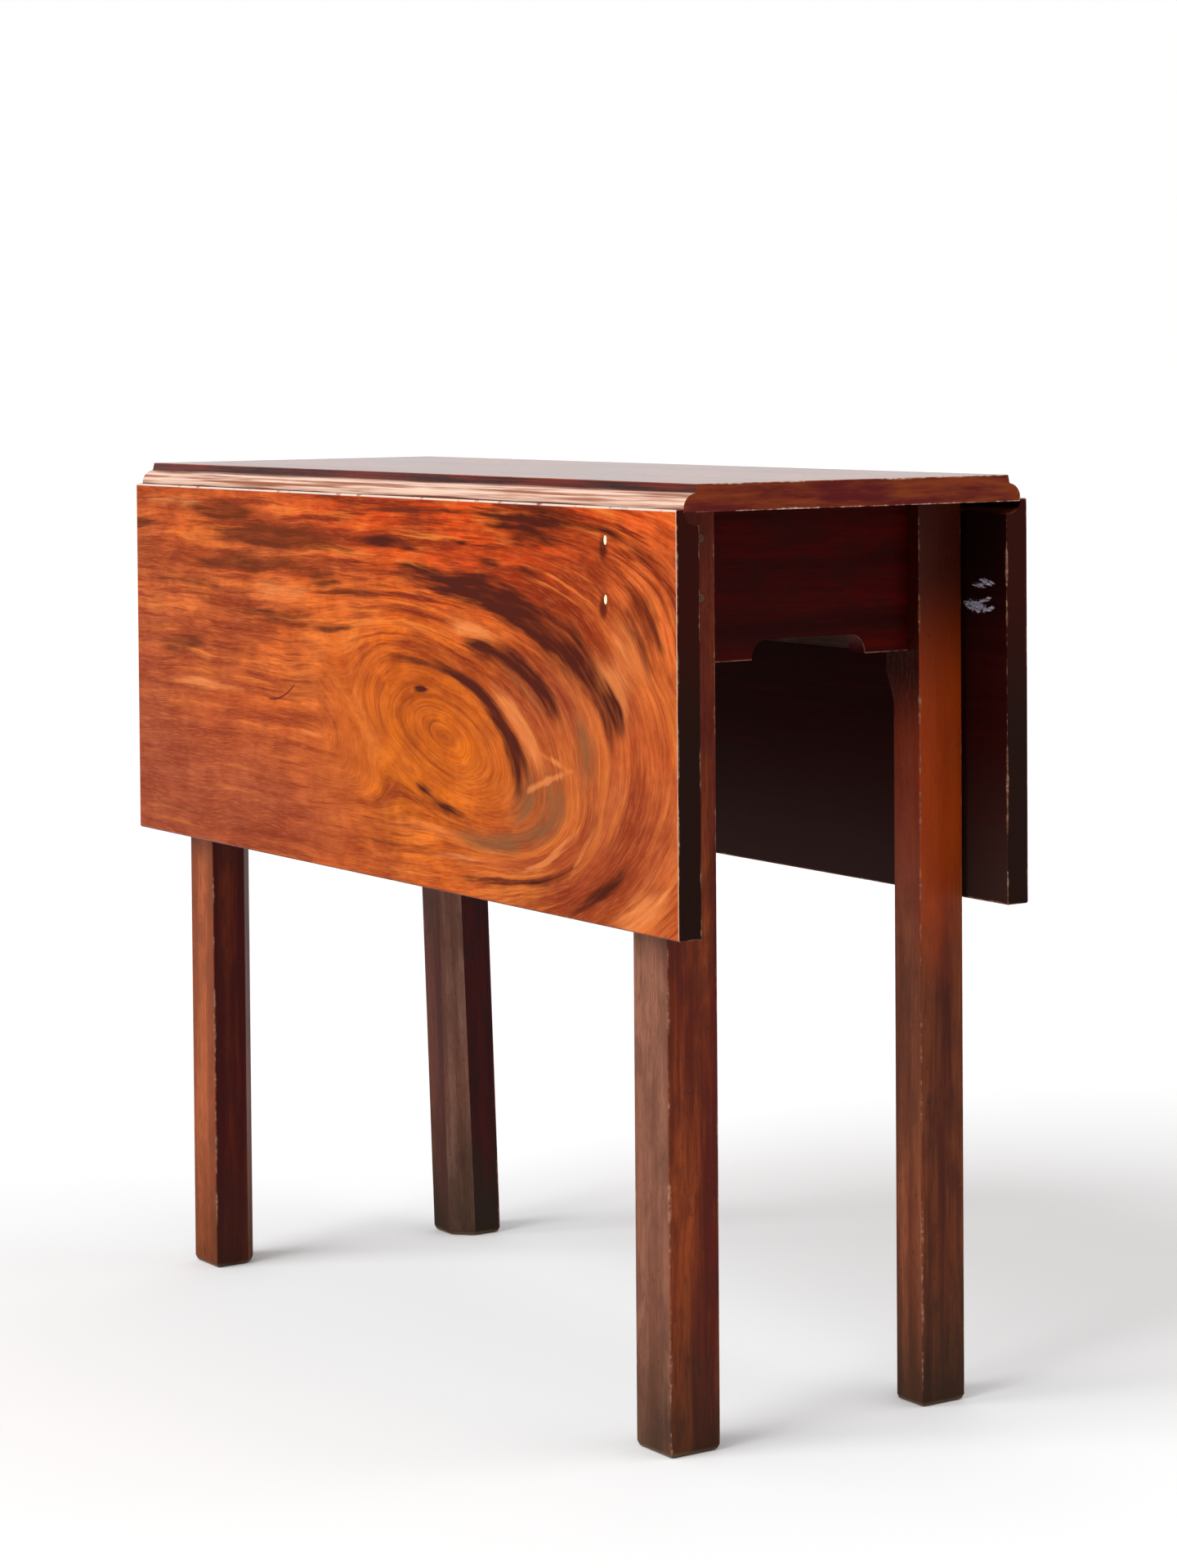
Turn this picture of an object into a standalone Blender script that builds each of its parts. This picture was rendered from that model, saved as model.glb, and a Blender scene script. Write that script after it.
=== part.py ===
"""Drop leaf table: a fixed top board, two hanging leaves on rule joints, and a gate-leg underframe.

Metres, +Z up, origin on the floor under the middle of the top, +X along the leaves.
Everything except the top board is drawn once, for the front side (-Y), and drawn again
turned half a turn about Z for the back side.
"""
import math

import bmesh
import bpy
from mathutils import Matrix, Vector

# ---- driving dimensions -------------------------------------------------------------------
GAP = 0.0003                # space left between pieces that touch
OVERCUT = 0.001             # how far a cutter reaches past the face it opens
HEIGHT = 0.720              # floor to top surface
LENGTH = 0.848              # top board and leaves, along X
THICKNESS = 0.0205          # top board and leaves
TOP_HALF_WIDTH = 0.146      # middle of the top to its square edge, above the ovolo
TOP_ARRIS = 0.0006          # softened corner of the top board's square edge
TOP_END_ROUND = 0.0007      # softened rims of the top board's ends
LEAF_REACH = 0.3115         # hinge axis to the free edge of a leaf
LEAF_ARRIS = 0.0012
LEAF_JOINT_ARRIS = 0.0008   # softened corner of a leaf where it meets the fillet
LEAF_END_ROUND = 0.0010

# rule joint: a fillet and a quarter-round, concentric with the hinge pin
FILLET = 0.0065
OVOLO_RADIUS = 0.0115
COVE_CLEARANCE = 0.0006
COVE_RADIUS = OVOLO_RADIUS + COVE_CLEARANCE
PIN_DEPTH = FILLET + OVOLO_RADIUS           # top surface down to the pin axis
BELOW_PIN = THICKNESS - PIN_DEPTH           # pin axis down to the board's underside
ARC_STEPS = 12

# rule-joint hinges, let in flush under the top and the leaf
HINGE_X = (-0.333, 0.0, 0.333)
HINGE_WIDTH = 0.038
HINGE_KNUCKLE_RADIUS = 0.00275
HINGE_BORE_RADIUS = 0.0011
HINGE_PIN_RADIUS = 0.0010
HINGE_PLATE = 0.0018
TABLE_PLATE_REACH = 0.0315
LEAF_PLATE_REACH = 0.082
MIDDLE_KNUCKLE = 0.013
KNUCKLE_ROOM = 0.0031       # half size of the notch round another plate's knuckle
HOUSING_INSET = 0.002       # how far a leaf's hinge housing starts inside the cove

# legs
LEG_OUT_X = 0.378
FIXED_LEG_OUT_Y = 0.142
FIXED_LEG_SIZE = 0.045
FIXED_LEG_CHAMFER = (0.0175, 0.0135)     # at the foot, at the stop
GATE_LEG_OUT_Y = 0.137
GATE_LEG_SIZE = 0.042
GATE_LEG_CHAMFER = (0.0105, 0.0105)
CHAMFER_STOP = (0.545, 0.568)
SQUARE_CHAMFER = 0.0012
ARRIS_RADIUS = 0.0014
FOOT_ROUND = 0.0035
FOOT_RINGS = ((0.0, 1.0), (0.3, 0.4), (1.3, 0.0))   # height and inset, in foot rounds
FOOT_LEAN = {"front": (0.0, 0.0), "back": (-0.026, -0.003)}   # the back fixed leg leans with age

# rails and end aprons
UNDERSIDE = HEIGHT - THICKNESS
RAIL_TOP = UNDERSIDE - GAP
GATE_DROP = 0.0005          # play between a gate and the top board
GATE_TOP = RAIL_TOP - GATE_DROP
RAIL_LOW = 0.5845
RAIL_THICKNESS = 0.020
INNER_RAIL_OUT_Y = 0.0947
OUTER_RAIL_IN_Y = INNER_RAIL_OUT_Y + GAP
APRON_OUT_X = 0.364
APRON_THICKNESS = 0.020
CUTOUT_HALF_WIDTH = 0.0537
CUTOUT_HEIGHT = 0.0152
CUTOUT_CORNER = 0.0146

# wooden knuckle joint of the gate
GATE_PIVOT_X = -0.050
GATE_PIVOT_Y = -(OUTER_RAIL_IN_Y + RAIL_THICKNESS / 2)
KNUCKLES = 5
KNUCKLE_CLEARANCE = 0.00035
GATE_PIN_RADIUS = 0.0035
GATE_BORE_RADIUS = 0.0037
GATE_PIN_PROUD = 0.002
BORE_OVERRUN = 0.01

# mortise and tenon joints, each held by two pegs
TENON_THICKNESS = 0.008
TENON_LOW = 0.602
TENON_TOP = 0.688
RAIL_TENON = 0.014
GATE_TENON = 0.020
APRON_TENON = 0.021
TENON_ROOT = 0.004          # overlap of a tenon with its own rail
PEG_RADIUS = 0.0035
PEG_SUNK = 0.0001           # a peg's end below the face of its leg
PEG_SHORT = 0.002           # a rail's peg stops this far inside the far face of the leg
PEG_PAST_TENON = 0.001      # an apron's peg goes this far beyond the tenon
APRON_PEG_PLACE = 0.6       # how far along the apron's tenon its pegs stand
RAIL_PEG_Z = (0.624, 0.668)
APRON_PEG_Z = (0.634, 0.678)

# glue blocks in the angle of frame and top
BLOCK_SIDE = 0.022
BLOCK_LENGTH = 0.070
BLOCK_X = (-0.175, 0.175)

ROUND_SIDES = 16
RIM_SEGMENTS = 2
CORNER_STEPS = 3
CUTOUT_STEPS = 8
SMOOTH_ANGLE = math.radians(35)

# finishes: colour, roughness, metallic
POLISHED_MAHOGANY = ((0.30, 0.085, 0.030), 0.15, 0.0)
WAXED_MAHOGANY = ((0.30, 0.085, 0.030), 0.35, 0.0)
DARK_MAHOGANY = ((0.12, 0.035, 0.018), 0.4, 0.0)
PINE = ((0.34, 0.20, 0.10), 0.6, 0.0)
IRON = ((0.10, 0.09, 0.085), 0.6, 0.9)


# ---- meshes -------------------------------------------------------------------------------
def finish_mesh(bm, name):
    """Turn a closed bmesh into a mesh whose faces point out."""
    bmesh.ops.recalc_face_normals(bm, faces=bm.faces)
    mesh = bpy.data.meshes.new(name)
    bm.to_mesh(mesh)
    bm.free()
    return mesh


def place(axis, along, across):
    """A point from its place along an axis and its two coordinates across it."""
    if axis == "X":
        return Vector((along, across[0], across[1]))
    if axis == "Y":
        return Vector((across[0], along, across[1]))
    return Vector((across[0], across[1], along))


def add_prism(bm, outline, axis, low, high):
    """Extrude a closed outline along an axis."""
    bottom = [bm.verts.new(place(axis, low, point)) for point in outline]
    top = [bm.verts.new(place(axis, high, point)) for point in outline]
    bm.faces.new(bottom)
    bm.faces.new(list(reversed(top)))
    for i in range(len(outline)):
        j = (i + 1) % len(outline)
        bm.faces.new((bottom[i], bottom[j], top[j], top[i]))
    return bottom, top


def add_box(bm, low, high):
    """A box from its lowest to its highest corner."""
    outline = [(low[0], low[1]), (high[0], low[1]), (high[0], high[1]), (low[0], high[1])]
    add_prism(bm, outline, "Z", low[2], high[2])


def circle(radius, centre=(0.0, 0.0), sides=ROUND_SIDES):
    """Points of a circle."""
    turn = 2 * math.pi / sides
    return [
        (centre[0] + radius * math.cos(i * turn), centre[1] + radius * math.sin(i * turn))
        for i in range(sides)
    ]


def arc(centre, radius, start, end, steps=ARC_STEPS):
    """Points of an arc, from one angle to another."""
    points = []
    for i in range(steps + 1):
        angle = start + (end - start) * i / steps
        points.append((centre[0] + radius * math.cos(angle), centre[1] + radius * math.sin(angle)))
    return points


def boxes_mesh(name, boxes):
    """One mesh of several boxes."""
    bm = bmesh.new()
    for low, high in boxes:
        add_box(bm, low, high)
    return finish_mesh(bm, name)


def prism_mesh(name, outline, axis, low, high, end_round=0.0):
    """A prism, with the rims of its two ends softened by end_round."""
    bm = bmesh.new()
    bottom, top = add_prism(bm, outline, axis, low, high)
    if end_round > 0:
        rims = [edge for ring in (bottom, top) for edge in bm.edges
                if edge.verts[0] in ring and edge.verts[1] in ring]
        bmesh.ops.bevel(bm, geom=rims, offset=end_round, segments=RIM_SEGMENTS, profile=0.5,
                        affect="EDGES")
    return finish_mesh(bm, name)


def rods_mesh(name, rods):
    """One mesh of several round rods: (axis, centre across, low, high, radius)."""
    bm = bmesh.new()
    for axis, centre, low, high, radius in rods:
        add_prism(bm, circle(radius, centre), axis, low, high)
    return finish_mesh(bm, name)


# ---- objects ------------------------------------------------------------------------------
def make_material(name, finish):
    """A plain material of its own for one piece."""
    colour, roughness, metallic = finish
    material = bpy.data.materials.new(name)
    material.use_nodes = True
    shader = material.node_tree.nodes["Principled BSDF"]
    shader.inputs["Base Color"].default_value = (*colour, 1.0)
    shader.inputs["Roughness"].default_value = roughness
    shader.inputs["Metallic"].default_value = metallic
    return material


def make_empty(name, matrix, parent=None):
    """A guide that holds a side of the table or a joint's axis."""
    empty = bpy.data.objects.new(name, None)
    bpy.context.collection.objects.link(empty)
    empty.parent = parent
    empty.matrix_local = matrix
    return empty


def make_node(name, mesh, parent, finish):
    """One named piece."""
    piece = bpy.data.objects.new(name, mesh)
    bpy.context.collection.objects.link(piece)
    piece.parent = parent
    mesh.materials.append(make_material(name, finish))
    mesh.shade_smooth()
    mesh.set_sharp_from_angle(angle=SMOOTH_ANGLE)
    return piece


def combine(piece, operation, mesh):
    """Unite a piece with a mesh, or cut the mesh out of it."""
    tool = bpy.data.objects.new(mesh.name, mesh)
    bpy.context.collection.objects.link(tool)
    tool.parent = piece.parent
    tool.hide_render = True
    tool.display_type = "WIRE"
    tool.hide_set(True)
    modifier = piece.modifiers.new(mesh.name, "BOOLEAN")
    modifier.operation = operation
    modifier.object = tool
    modifier.solver = "EXACT"


def shifted(boxes, origin):
    """Boxes counted from another origin."""
    return [
        (tuple(Vector(low) - origin), tuple(Vector(high) - origin)) for low, high in boxes
    ]


# ---- top board ----------------------------------------------------------------------------
def hinge_room(x):
    """The shallow housing of a hinge under the top board's edge, counted from the pin axis."""
    half = HINGE_WIDTH / 2 + GAP
    ceiling = HINGE_PLATE - BELOW_PIN + GAP
    low = (x - half, -TABLE_PLATE_REACH - GAP, -BELOW_PIN - OVERCUT)
    return low, (x + half, OVOLO_RADIUS + OVERCUT, ceiling)


def make_top_board():
    """The fixed board: ovolo and fillet along both long edges, hinges let in underneath."""
    pin_z = HEIGHT - PIN_DEPTH
    right = [(TOP_HALF_WIDTH + OVOLO_RADIUS, UNDERSIDE)]
    right += arc((TOP_HALF_WIDTH, pin_z), OVOLO_RADIUS, 0.0, math.pi / 2)
    right += [(TOP_HALF_WIDTH, HEIGHT - TOP_ARRIS), (TOP_HALF_WIDTH - TOP_ARRIS, HEIGHT)]
    left = [(-y, z) for y, z in reversed(right)]
    mesh = prism_mesh("top_board", right + left, "X", -LENGTH / 2, LENGTH / 2, TOP_END_ROUND)
    board = make_node("top_board", mesh, None, POLISHED_MAHOGANY)
    housings = []
    channels = []
    for side in (-1, 1):
        for x in HINGE_X:
            low, high = hinge_room(x)
            ys = sorted((side * (TOP_HALF_WIDTH + low[1]), side * (TOP_HALF_WIDTH + high[1])))
            housings.append(((low[0], ys[0], pin_z + low[2]), (high[0], ys[1], pin_z + high[2])))
            channels.append(("X", (side * TOP_HALF_WIDTH, pin_z), low[0], high[0],
                             HINGE_KNUCKLE_RADIUS + GAP))
    combine(board, "DIFFERENCE", boxes_mesh("cut_hinge_housings", housings))
    combine(board, "DIFFERENCE", rods_mesh("cut_knuckle_channels", channels))


# ---- leaves and their hinges ----------------------------------------------------------------
# Drawn as if raised: origin on the pin axis, +Y away from the table, +Z up.
def make_leaf(side, pivot):
    """A leaf, with the cove of the rule joint along its hinged edge."""
    outline = [(LEAF_REACH - LEAF_ARRIS, PIN_DEPTH), (LEAF_REACH, PIN_DEPTH - LEAF_ARRIS)]
    outline += [(LEAF_REACH, LEAF_ARRIS - BELOW_PIN), (LEAF_REACH - LEAF_ARRIS, -BELOW_PIN)]
    outline += [(COVE_RADIUS, -BELOW_PIN)]
    outline += arc((0.0, 0.0), COVE_RADIUS, 0.0, math.acos(GAP / COVE_RADIUS))
    outline += [(GAP, PIN_DEPTH - LEAF_JOINT_ARRIS), (GAP + LEAF_JOINT_ARRIS, PIN_DEPTH)]
    mesh = prism_mesh(side + "_leaf", outline, "X", -LENGTH / 2, LENGTH / 2, LEAF_END_ROUND)
    leaf = make_node(side + "_leaf", mesh, pivot, POLISHED_MAHOGANY)
    housings = []
    for x in HINGE_X:
        half = HINGE_WIDTH / 2 + GAP
        low = (x - half, COVE_RADIUS - HOUSING_INSET, -BELOW_PIN - OVERCUT)
        housings.append((low, (x + half, LEAF_PLATE_REACH + GAP, HINGE_PLATE - BELOW_PIN + GAP)))
    combine(leaf, "DIFFERENCE", boxes_mesh("cut_" + side + "_leaf_housings", housings))


def make_hinge_plate(name, parent, x, reach, knuckles, notches):
    """A flush plate with its share of the knuckles. A negative reach lies under the top."""
    half = HINGE_WIDTH / 2
    ys = sorted((0.0, reach))
    plate = [((x - half, ys[0], -BELOW_PIN), (x + half, ys[1], HINGE_PLATE - BELOW_PIN))]
    piece = make_node(name, boxes_mesh(name, plate), parent, IRON)
    barrels = [("X", (0.0, 0.0), x + low, x + high, HINGE_KNUCKLE_RADIUS)
               for low, high in knuckles]
    combine(piece, "UNION", rods_mesh("add_" + name, barrels))
    rooms = [((x + low, -KNUCKLE_ROOM, -KNUCKLE_ROOM), (x + high, KNUCKLE_ROOM, KNUCKLE_ROOM))
             for low, high in notches]
    combine(piece, "DIFFERENCE", boxes_mesh("cut_" + name, rooms))
    bore = [("X", (0.0, 0.0), x - half - OVERCUT, x + half + OVERCUT, HINGE_BORE_RADIUS)]
    combine(piece, "DIFFERENCE", rods_mesh("bore_" + name, bore))


def make_hinge(side, number, x, table_edge, pivot):
    """Table plate, leaf plate and pin of one rule-joint hinge."""
    half = HINGE_WIDTH / 2
    middle = MIDDLE_KNUCKLE / 2
    name = f"{side}_hinge_{number}"
    outer = [(-half, -middle - GAP), (middle + GAP, half)]
    inner = [(-middle, middle)]
    clear_middle = [(-middle - GAP, middle + GAP)]
    clear_outer = [(-half - OVERCUT, -middle), (middle, half + OVERCUT)]
    make_hinge_plate(name + "_table_plate", table_edge, x, -TABLE_PLATE_REACH, outer, clear_middle)
    make_hinge_plate(name + "_leaf_plate", pivot, x, LEAF_PLATE_REACH, inner, clear_outer)
    pin = rods_mesh(name + "_pin", [("X", (0.0, 0.0), x - half, x + half, HINGE_PIN_RADIUS)])
    make_node(name + "_pin", pin, table_edge, IRON)


# ---- legs -----------------------------------------------------------------------------------
def leg_ring(size, chamfer, inset):
    """Outline of a leg on plan. Its inner, chamfered corner is the one at the highest x and y."""
    half = size / 2 - inset
    middle = half - ARRIS_RADIUS
    cut = chamfer - inset
    points = [(half, half - cut), (half - cut, half)]
    for sx, sy, start in ((-1, 1, math.pi / 2), (-1, -1, math.pi), (1, -1, -math.pi / 2)):
        centre = (sx * middle, sy * middle)
        points += arc(centre, ARRIS_RADIUS, start, start + math.pi / 2, CORNER_STEPS)
    return points


def make_leg(name, parent, centre, size, chamfer, top, inner_corner, origin, lean=(0.0, 0.0)):
    """A square leg, chamfered down its inner corner to a stop below the rails.

    Its foot stands away from square by lean.
    """
    levels = [(z * FOOT_ROUND, inset * FOOT_ROUND, chamfer[0]) for z, inset in FOOT_RINGS]
    levels += [
        (CHAMFER_STOP[0], 0.0, chamfer[1]),
        (CHAMFER_STOP[1], 0.0, SQUARE_CHAMFER),
        (RAIL_LOW, 0.0, SQUARE_CHAMFER),
        (top, 0.0, SQUARE_CHAMFER),
    ]
    bm = bmesh.new()
    rings = []
    for z, inset, cut in levels:
        ring = []
        away = max(0.0, 1.0 - z / RAIL_LOW)
        for px, py in leg_ring(size, cut, inset):
            x = centre[0] + px * inner_corner[0] + lean[0] * away - origin[0]
            y = centre[1] + py * inner_corner[1] + lean[1] * away - origin[1]
            ring.append(bm.verts.new((x, y, z - origin[2])))
        rings.append(ring)
    for low, high in zip(rings, rings[1:]):
        for i in range(len(low)):
            j = (i + 1) % len(low)
            bm.faces.new((low[i], low[j], high[j], high[i]))
    bm.faces.new(rings[0])
    bm.faces.new(list(reversed(rings[-1])))
    return make_node(name, finish_mesh(bm, name), parent, WAXED_MAHOGANY)


def peg_holes(name, pegs, clearance, origin):
    """Rods for a set of pegs, (axis, (across, z), low, high), counted from an origin."""
    rods = []
    for axis, centre, low, high in pegs:
        across = 0 if axis == "Y" else 1
        along = 1 if axis == "Y" else 0
        rods.append((
            axis,
            (centre[0] - origin[across], centre[1] - origin[2]),
            low - origin[along] - clearance,
            high - origin[along] + clearance,
            PEG_RADIUS + clearance,
        ))
    return rods_mesh(name, rods)


def make_pegs(stem, parent, pegs, origin):
    """The pegs themselves, one piece each."""
    for number, peg in enumerate(pegs, start=1):
        name = f"{stem}_peg_{number}"
        make_node(name, peg_holes(name, [peg], 0.0, origin), parent, DARK_MAHOGANY)


def tenon_room(low, high):
    """The mortise round a tenon."""
    return tuple(v - GAP for v in low), tuple(v + GAP for v in high)


# ---- underframe -----------------------------------------------------------------------------
ORIGIN = Vector((0.0, 0.0, 0.0))
GATE_ORIGIN = Vector((GATE_PIVOT_X, GATE_PIVOT_Y, 0.0))


def zone(number):
    """Lower and upper height of one of the equal steps of the knuckle joint."""
    step = (RAIL_TOP - RAIL_LOW) / KNUCKLES
    return RAIL_LOW + number * step, RAIL_LOW + (number + 1) * step


def knuckle_rail(name, parent, direction, reach, low, top, origin, slots):
    """A rail from the knuckle joint to its leg. Its rounded end is centred on the pin."""
    half = RAIL_THICKNESS / 2
    pivot = (GATE_PIVOT_X - origin[0], GATE_PIVOT_Y - origin[1])
    outline = [(reach - origin[0], pivot[1] - half), (reach - origin[0], pivot[1] + half)]
    start = math.pi / 2
    end = start + direction * math.pi
    outline += arc(pivot, half, start, end)
    rail = make_node(name, prism_mesh(name, outline, "Z", low, top), parent, DARK_MAHOGANY)
    room = half + KNUCKLE_CLEARANCE
    slot = arc(pivot, room, 0.0, math.pi)
    front = pivot[1] - half - OVERCUT
    slot += [(pivot[0] - room, front), (pivot[0] + room, front)]
    bm = bmesh.new()
    for slot_low, slot_high in slots:
        add_prism(bm, slot, "Z", slot_low, slot_high)
    combine(rail, "DIFFERENCE", finish_mesh(bm, "cut_" + name))
    bore = [("Z", pivot, RAIL_LOW - BORE_OVERRUN, RAIL_TOP + BORE_OVERRUN, GATE_BORE_RADIUS)]
    combine(rail, "DIFFERENCE", rods_mesh("bore_" + name, bore))
    return rail


def make_fixed_side(side, guide):
    """Fixed leg, fixed rail, inner rail, end apron and their pegs."""
    leg_x = LEG_OUT_X - FIXED_LEG_SIZE
    leg_y = -FIXED_LEG_OUT_Y + FIXED_LEG_SIZE
    rail_y = GATE_PIVOT_Y
    half = TENON_THICKNESS / 2
    rail_tenon = ((leg_x - GAP - TENON_ROOT, rail_y - half, TENON_LOW),
                  (leg_x + RAIL_TENON, rail_y + half, TENON_TOP))
    apron_x = APRON_OUT_X - APRON_THICKNESS / 2
    apron_tenon = ((apron_x - half, leg_y - APRON_TENON, TENON_LOW),
                   (apron_x + half, leg_y + GAP + TENON_ROOT, TENON_TOP))
    rail_pegs = [("Y", (leg_x + RAIL_TENON / 2, z), -FIXED_LEG_OUT_Y + PEG_SUNK,
                  leg_y - PEG_SHORT) for z in RAIL_PEG_Z]
    peg_y = leg_y - APRON_TENON * APRON_PEG_PLACE
    apron_pegs = [("X", (peg_y, z), apron_x - half - PEG_PAST_TENON, LEG_OUT_X - PEG_SUNK)
                  for z in APRON_PEG_Z]

    centre = (LEG_OUT_X - FIXED_LEG_SIZE / 2, -FIXED_LEG_OUT_Y + FIXED_LEG_SIZE / 2)
    leg = make_leg(side + "_fixed_leg", guide, centre, FIXED_LEG_SIZE, FIXED_LEG_CHAMFER,
                   RAIL_TOP, (-1, 1), ORIGIN, FOOT_LEAN[side])
    mortises = [tenon_room(*rail_tenon), tenon_room(*apron_tenon)]
    combine(leg, "DIFFERENCE", boxes_mesh(f"cut_{side}_fixed_leg", mortises))
    combine(leg, "DIFFERENCE", peg_holes(f"cut_{side}_rail_pegs", rail_pegs, GAP, ORIGIN))
    combine(leg, "DIFFERENCE", peg_holes(f"cut_{side}_apron_pegs", apron_pegs, GAP, ORIGIN))
    make_pegs(side + "_fixed_rail", guide, rail_pegs, ORIGIN)
    make_pegs(side + "_end_apron", guide, apron_pegs, ORIGIN)

    slots = [zone(number) for number in range(1, KNUCKLES, 2)]
    rail = knuckle_rail(side + "_fixed_rail", guide, 1, leg_x - GAP, RAIL_LOW, RAIL_TOP,
                        ORIGIN, slots)
    combine(rail, "UNION", boxes_mesh(f"add_{side}_fixed_rail", [rail_tenon]))
    combine(rail, "DIFFERENCE", peg_holes(f"peg_{side}_fixed_rail", rail_pegs, GAP, ORIGIN))

    inner_x = APRON_OUT_X - APRON_THICKNESS - GAP
    inner = [((-inner_x, -INNER_RAIL_OUT_Y, RAIL_LOW),
              (inner_x, -INNER_RAIL_OUT_Y + RAIL_THICKNESS, RAIL_TOP))]
    make_node(side + "_inner_rail", boxes_mesh(side + "_inner_rail", inner), guide, PINE)

    make_end_apron(side, guide, leg_y + GAP, apron_tenon, apron_pegs)


def make_end_apron(side, guide, near_y, tenon, pegs):
    """The end apron, with a shallow cut-out with rounded upper corners in its lower edge."""
    low_x = APRON_OUT_X - APRON_THICKNESS
    far_y = INNER_RAIL_OUT_Y
    ceiling = RAIL_LOW + CUTOUT_HEIGHT
    corner_z = ceiling - CUTOUT_CORNER
    corner_y = CUTOUT_HALF_WIDTH - CUTOUT_CORNER
    outline = [(near_y, RAIL_LOW), (-CUTOUT_HALF_WIDTH, RAIL_LOW)]
    outline += arc((-corner_y, corner_z), CUTOUT_CORNER, math.pi, math.pi / 2, CUTOUT_STEPS)
    outline += arc((corner_y, corner_z), CUTOUT_CORNER, math.pi / 2, 0.0, CUTOUT_STEPS)
    outline += [(CUTOUT_HALF_WIDTH, RAIL_LOW), (far_y, RAIL_LOW)]
    outline += [(far_y, RAIL_TOP), (near_y, RAIL_TOP)]
    name = side + "_end_apron"
    apron = make_node(name, prism_mesh(name, outline, "X", low_x, APRON_OUT_X), guide,
                      DARK_MAHOGANY)
    combine(apron, "UNION", boxes_mesh("add_" + name, [tenon]))
    combine(apron, "DIFFERENCE", peg_holes("peg_" + name, pegs, GAP, ORIGIN))


def make_gate(side, guide, pivot):
    """Swing rail, gate leg and iron pin. The gate turns about the pin."""
    leg_x = -LEG_OUT_X + GATE_LEG_SIZE
    half = TENON_THICKNESS / 2
    tenon = ((leg_x - GATE_TENON, GATE_PIVOT_Y - half, TENON_LOW),
             (leg_x + GAP + TENON_ROOT, GATE_PIVOT_Y + half, TENON_TOP))
    pegs = [("Y", (leg_x - GATE_TENON / 2, z), -GATE_LEG_OUT_Y + PEG_SUNK,
             -GATE_LEG_OUT_Y + GATE_LEG_SIZE - PEG_SHORT) for z in RAIL_PEG_Z]

    centre = (-LEG_OUT_X + GATE_LEG_SIZE / 2, -GATE_LEG_OUT_Y + GATE_LEG_SIZE / 2)
    leg = make_leg(side + "_gate_leg", pivot, centre, GATE_LEG_SIZE, GATE_LEG_CHAMFER,
                   GATE_TOP, (1, 1), GATE_ORIGIN)
    mortise = shifted([tenon_room(*tenon)], GATE_ORIGIN)
    combine(leg, "DIFFERENCE", boxes_mesh(f"cut_{side}_gate_leg", mortise))
    combine(leg, "DIFFERENCE", peg_holes(f"peg_{side}_gate_leg", pegs, GAP, GATE_ORIGIN))
    make_pegs(side + "_swing_rail", pivot, pegs, GATE_ORIGIN)

    slots = []
    for number in range(0, KNUCKLES, 2):
        low, high = zone(number)
        slots.append((low - GAP, high + GAP))
    rail = knuckle_rail(side + "_swing_rail", pivot, -1, leg_x + GAP, RAIL_LOW + GAP, GATE_TOP,
                        GATE_ORIGIN, slots)
    combine(rail, "UNION", boxes_mesh(f"add_{side}_swing_rail", shifted([tenon], GATE_ORIGIN)))
    combine(rail, "DIFFERENCE", peg_holes(f"peg_{side}_swing_rail", pegs, GAP, GATE_ORIGIN))

    pin = [("Z", (GATE_PIVOT_X, GATE_PIVOT_Y), RAIL_LOW - GATE_PIN_PROUD, RAIL_TOP - GAP,
            GATE_PIN_RADIUS)]
    make_node(side + "_gate_pin", rods_mesh(side + "_gate_pin", pin), guide, IRON)


def make_glue_blocks(side, guide):
    """Three-cornered blocks that hold the top to the inner rail and the end apron."""
    wall = -INNER_RAIL_OUT_Y + RAIL_THICKNESS + GAP
    corner = [(wall, RAIL_TOP), (wall + BLOCK_SIDE, RAIL_TOP), (wall, RAIL_TOP - BLOCK_SIDE)]
    for number, x in enumerate(BLOCK_X, start=1):
        name = f"{side}_glue_block_{number}"
        half = BLOCK_LENGTH / 2
        make_node(name, prism_mesh(name, corner, "X", x - half, x + half), guide, PINE)
    wall = APRON_OUT_X - APRON_THICKNESS - GAP
    corner = [(wall, RAIL_TOP), (wall - BLOCK_SIDE, RAIL_TOP), (wall, RAIL_TOP - BLOCK_SIDE)]
    name = f"{side}_glue_block_{len(BLOCK_X) + 1}"
    half = BLOCK_LENGTH / 2
    make_node(name, prism_mesh(name, corner, "Y", -half, half), guide, PINE)


def make_side(side, turn):
    """Everything that belongs to one long side of the table."""
    guide = make_empty(side + "_side", Matrix.Rotation(turn, 4, "Z"))
    gate = make_empty(side + "_gate_pivot", Matrix.Translation(GATE_ORIGIN), guide)
    pin_line = Matrix.Translation((0.0, -TOP_HALF_WIDTH, HEIGHT - PIN_DEPTH))
    half_turn = Matrix.Rotation(math.pi, 4, "Z")
    table_edge = make_empty(side + "_table_edge", pin_line @ half_turn, guide)
    hanging = pin_line @ Matrix.Rotation(math.pi / 2, 4, "X") @ half_turn
    leaf_pivot = make_empty(side + "_leaf_pivot", hanging, guide)

    make_leaf(side, leaf_pivot)
    for number, x in enumerate(HINGE_X, start=1):
        make_hinge(side, number, x, table_edge, leaf_pivot)
    make_fixed_side(side, guide)
    make_gate(side, guide, gate)
    make_glue_blocks(side, guide)


def main():
    """Build the whole table in an empty scene."""
    for old in list(bpy.data.objects):
        bpy.data.objects.remove(old)
    make_top_board()
    make_side("front", 0.0)
    make_side("back", math.pi)


main()
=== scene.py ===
"""Looks of the drop leaf table: figured mahogany leaves, waxed legs, dark underframe, old iron."""
import math

import bmesh
import bpy
from mathutils import Matrix, Vector


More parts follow.
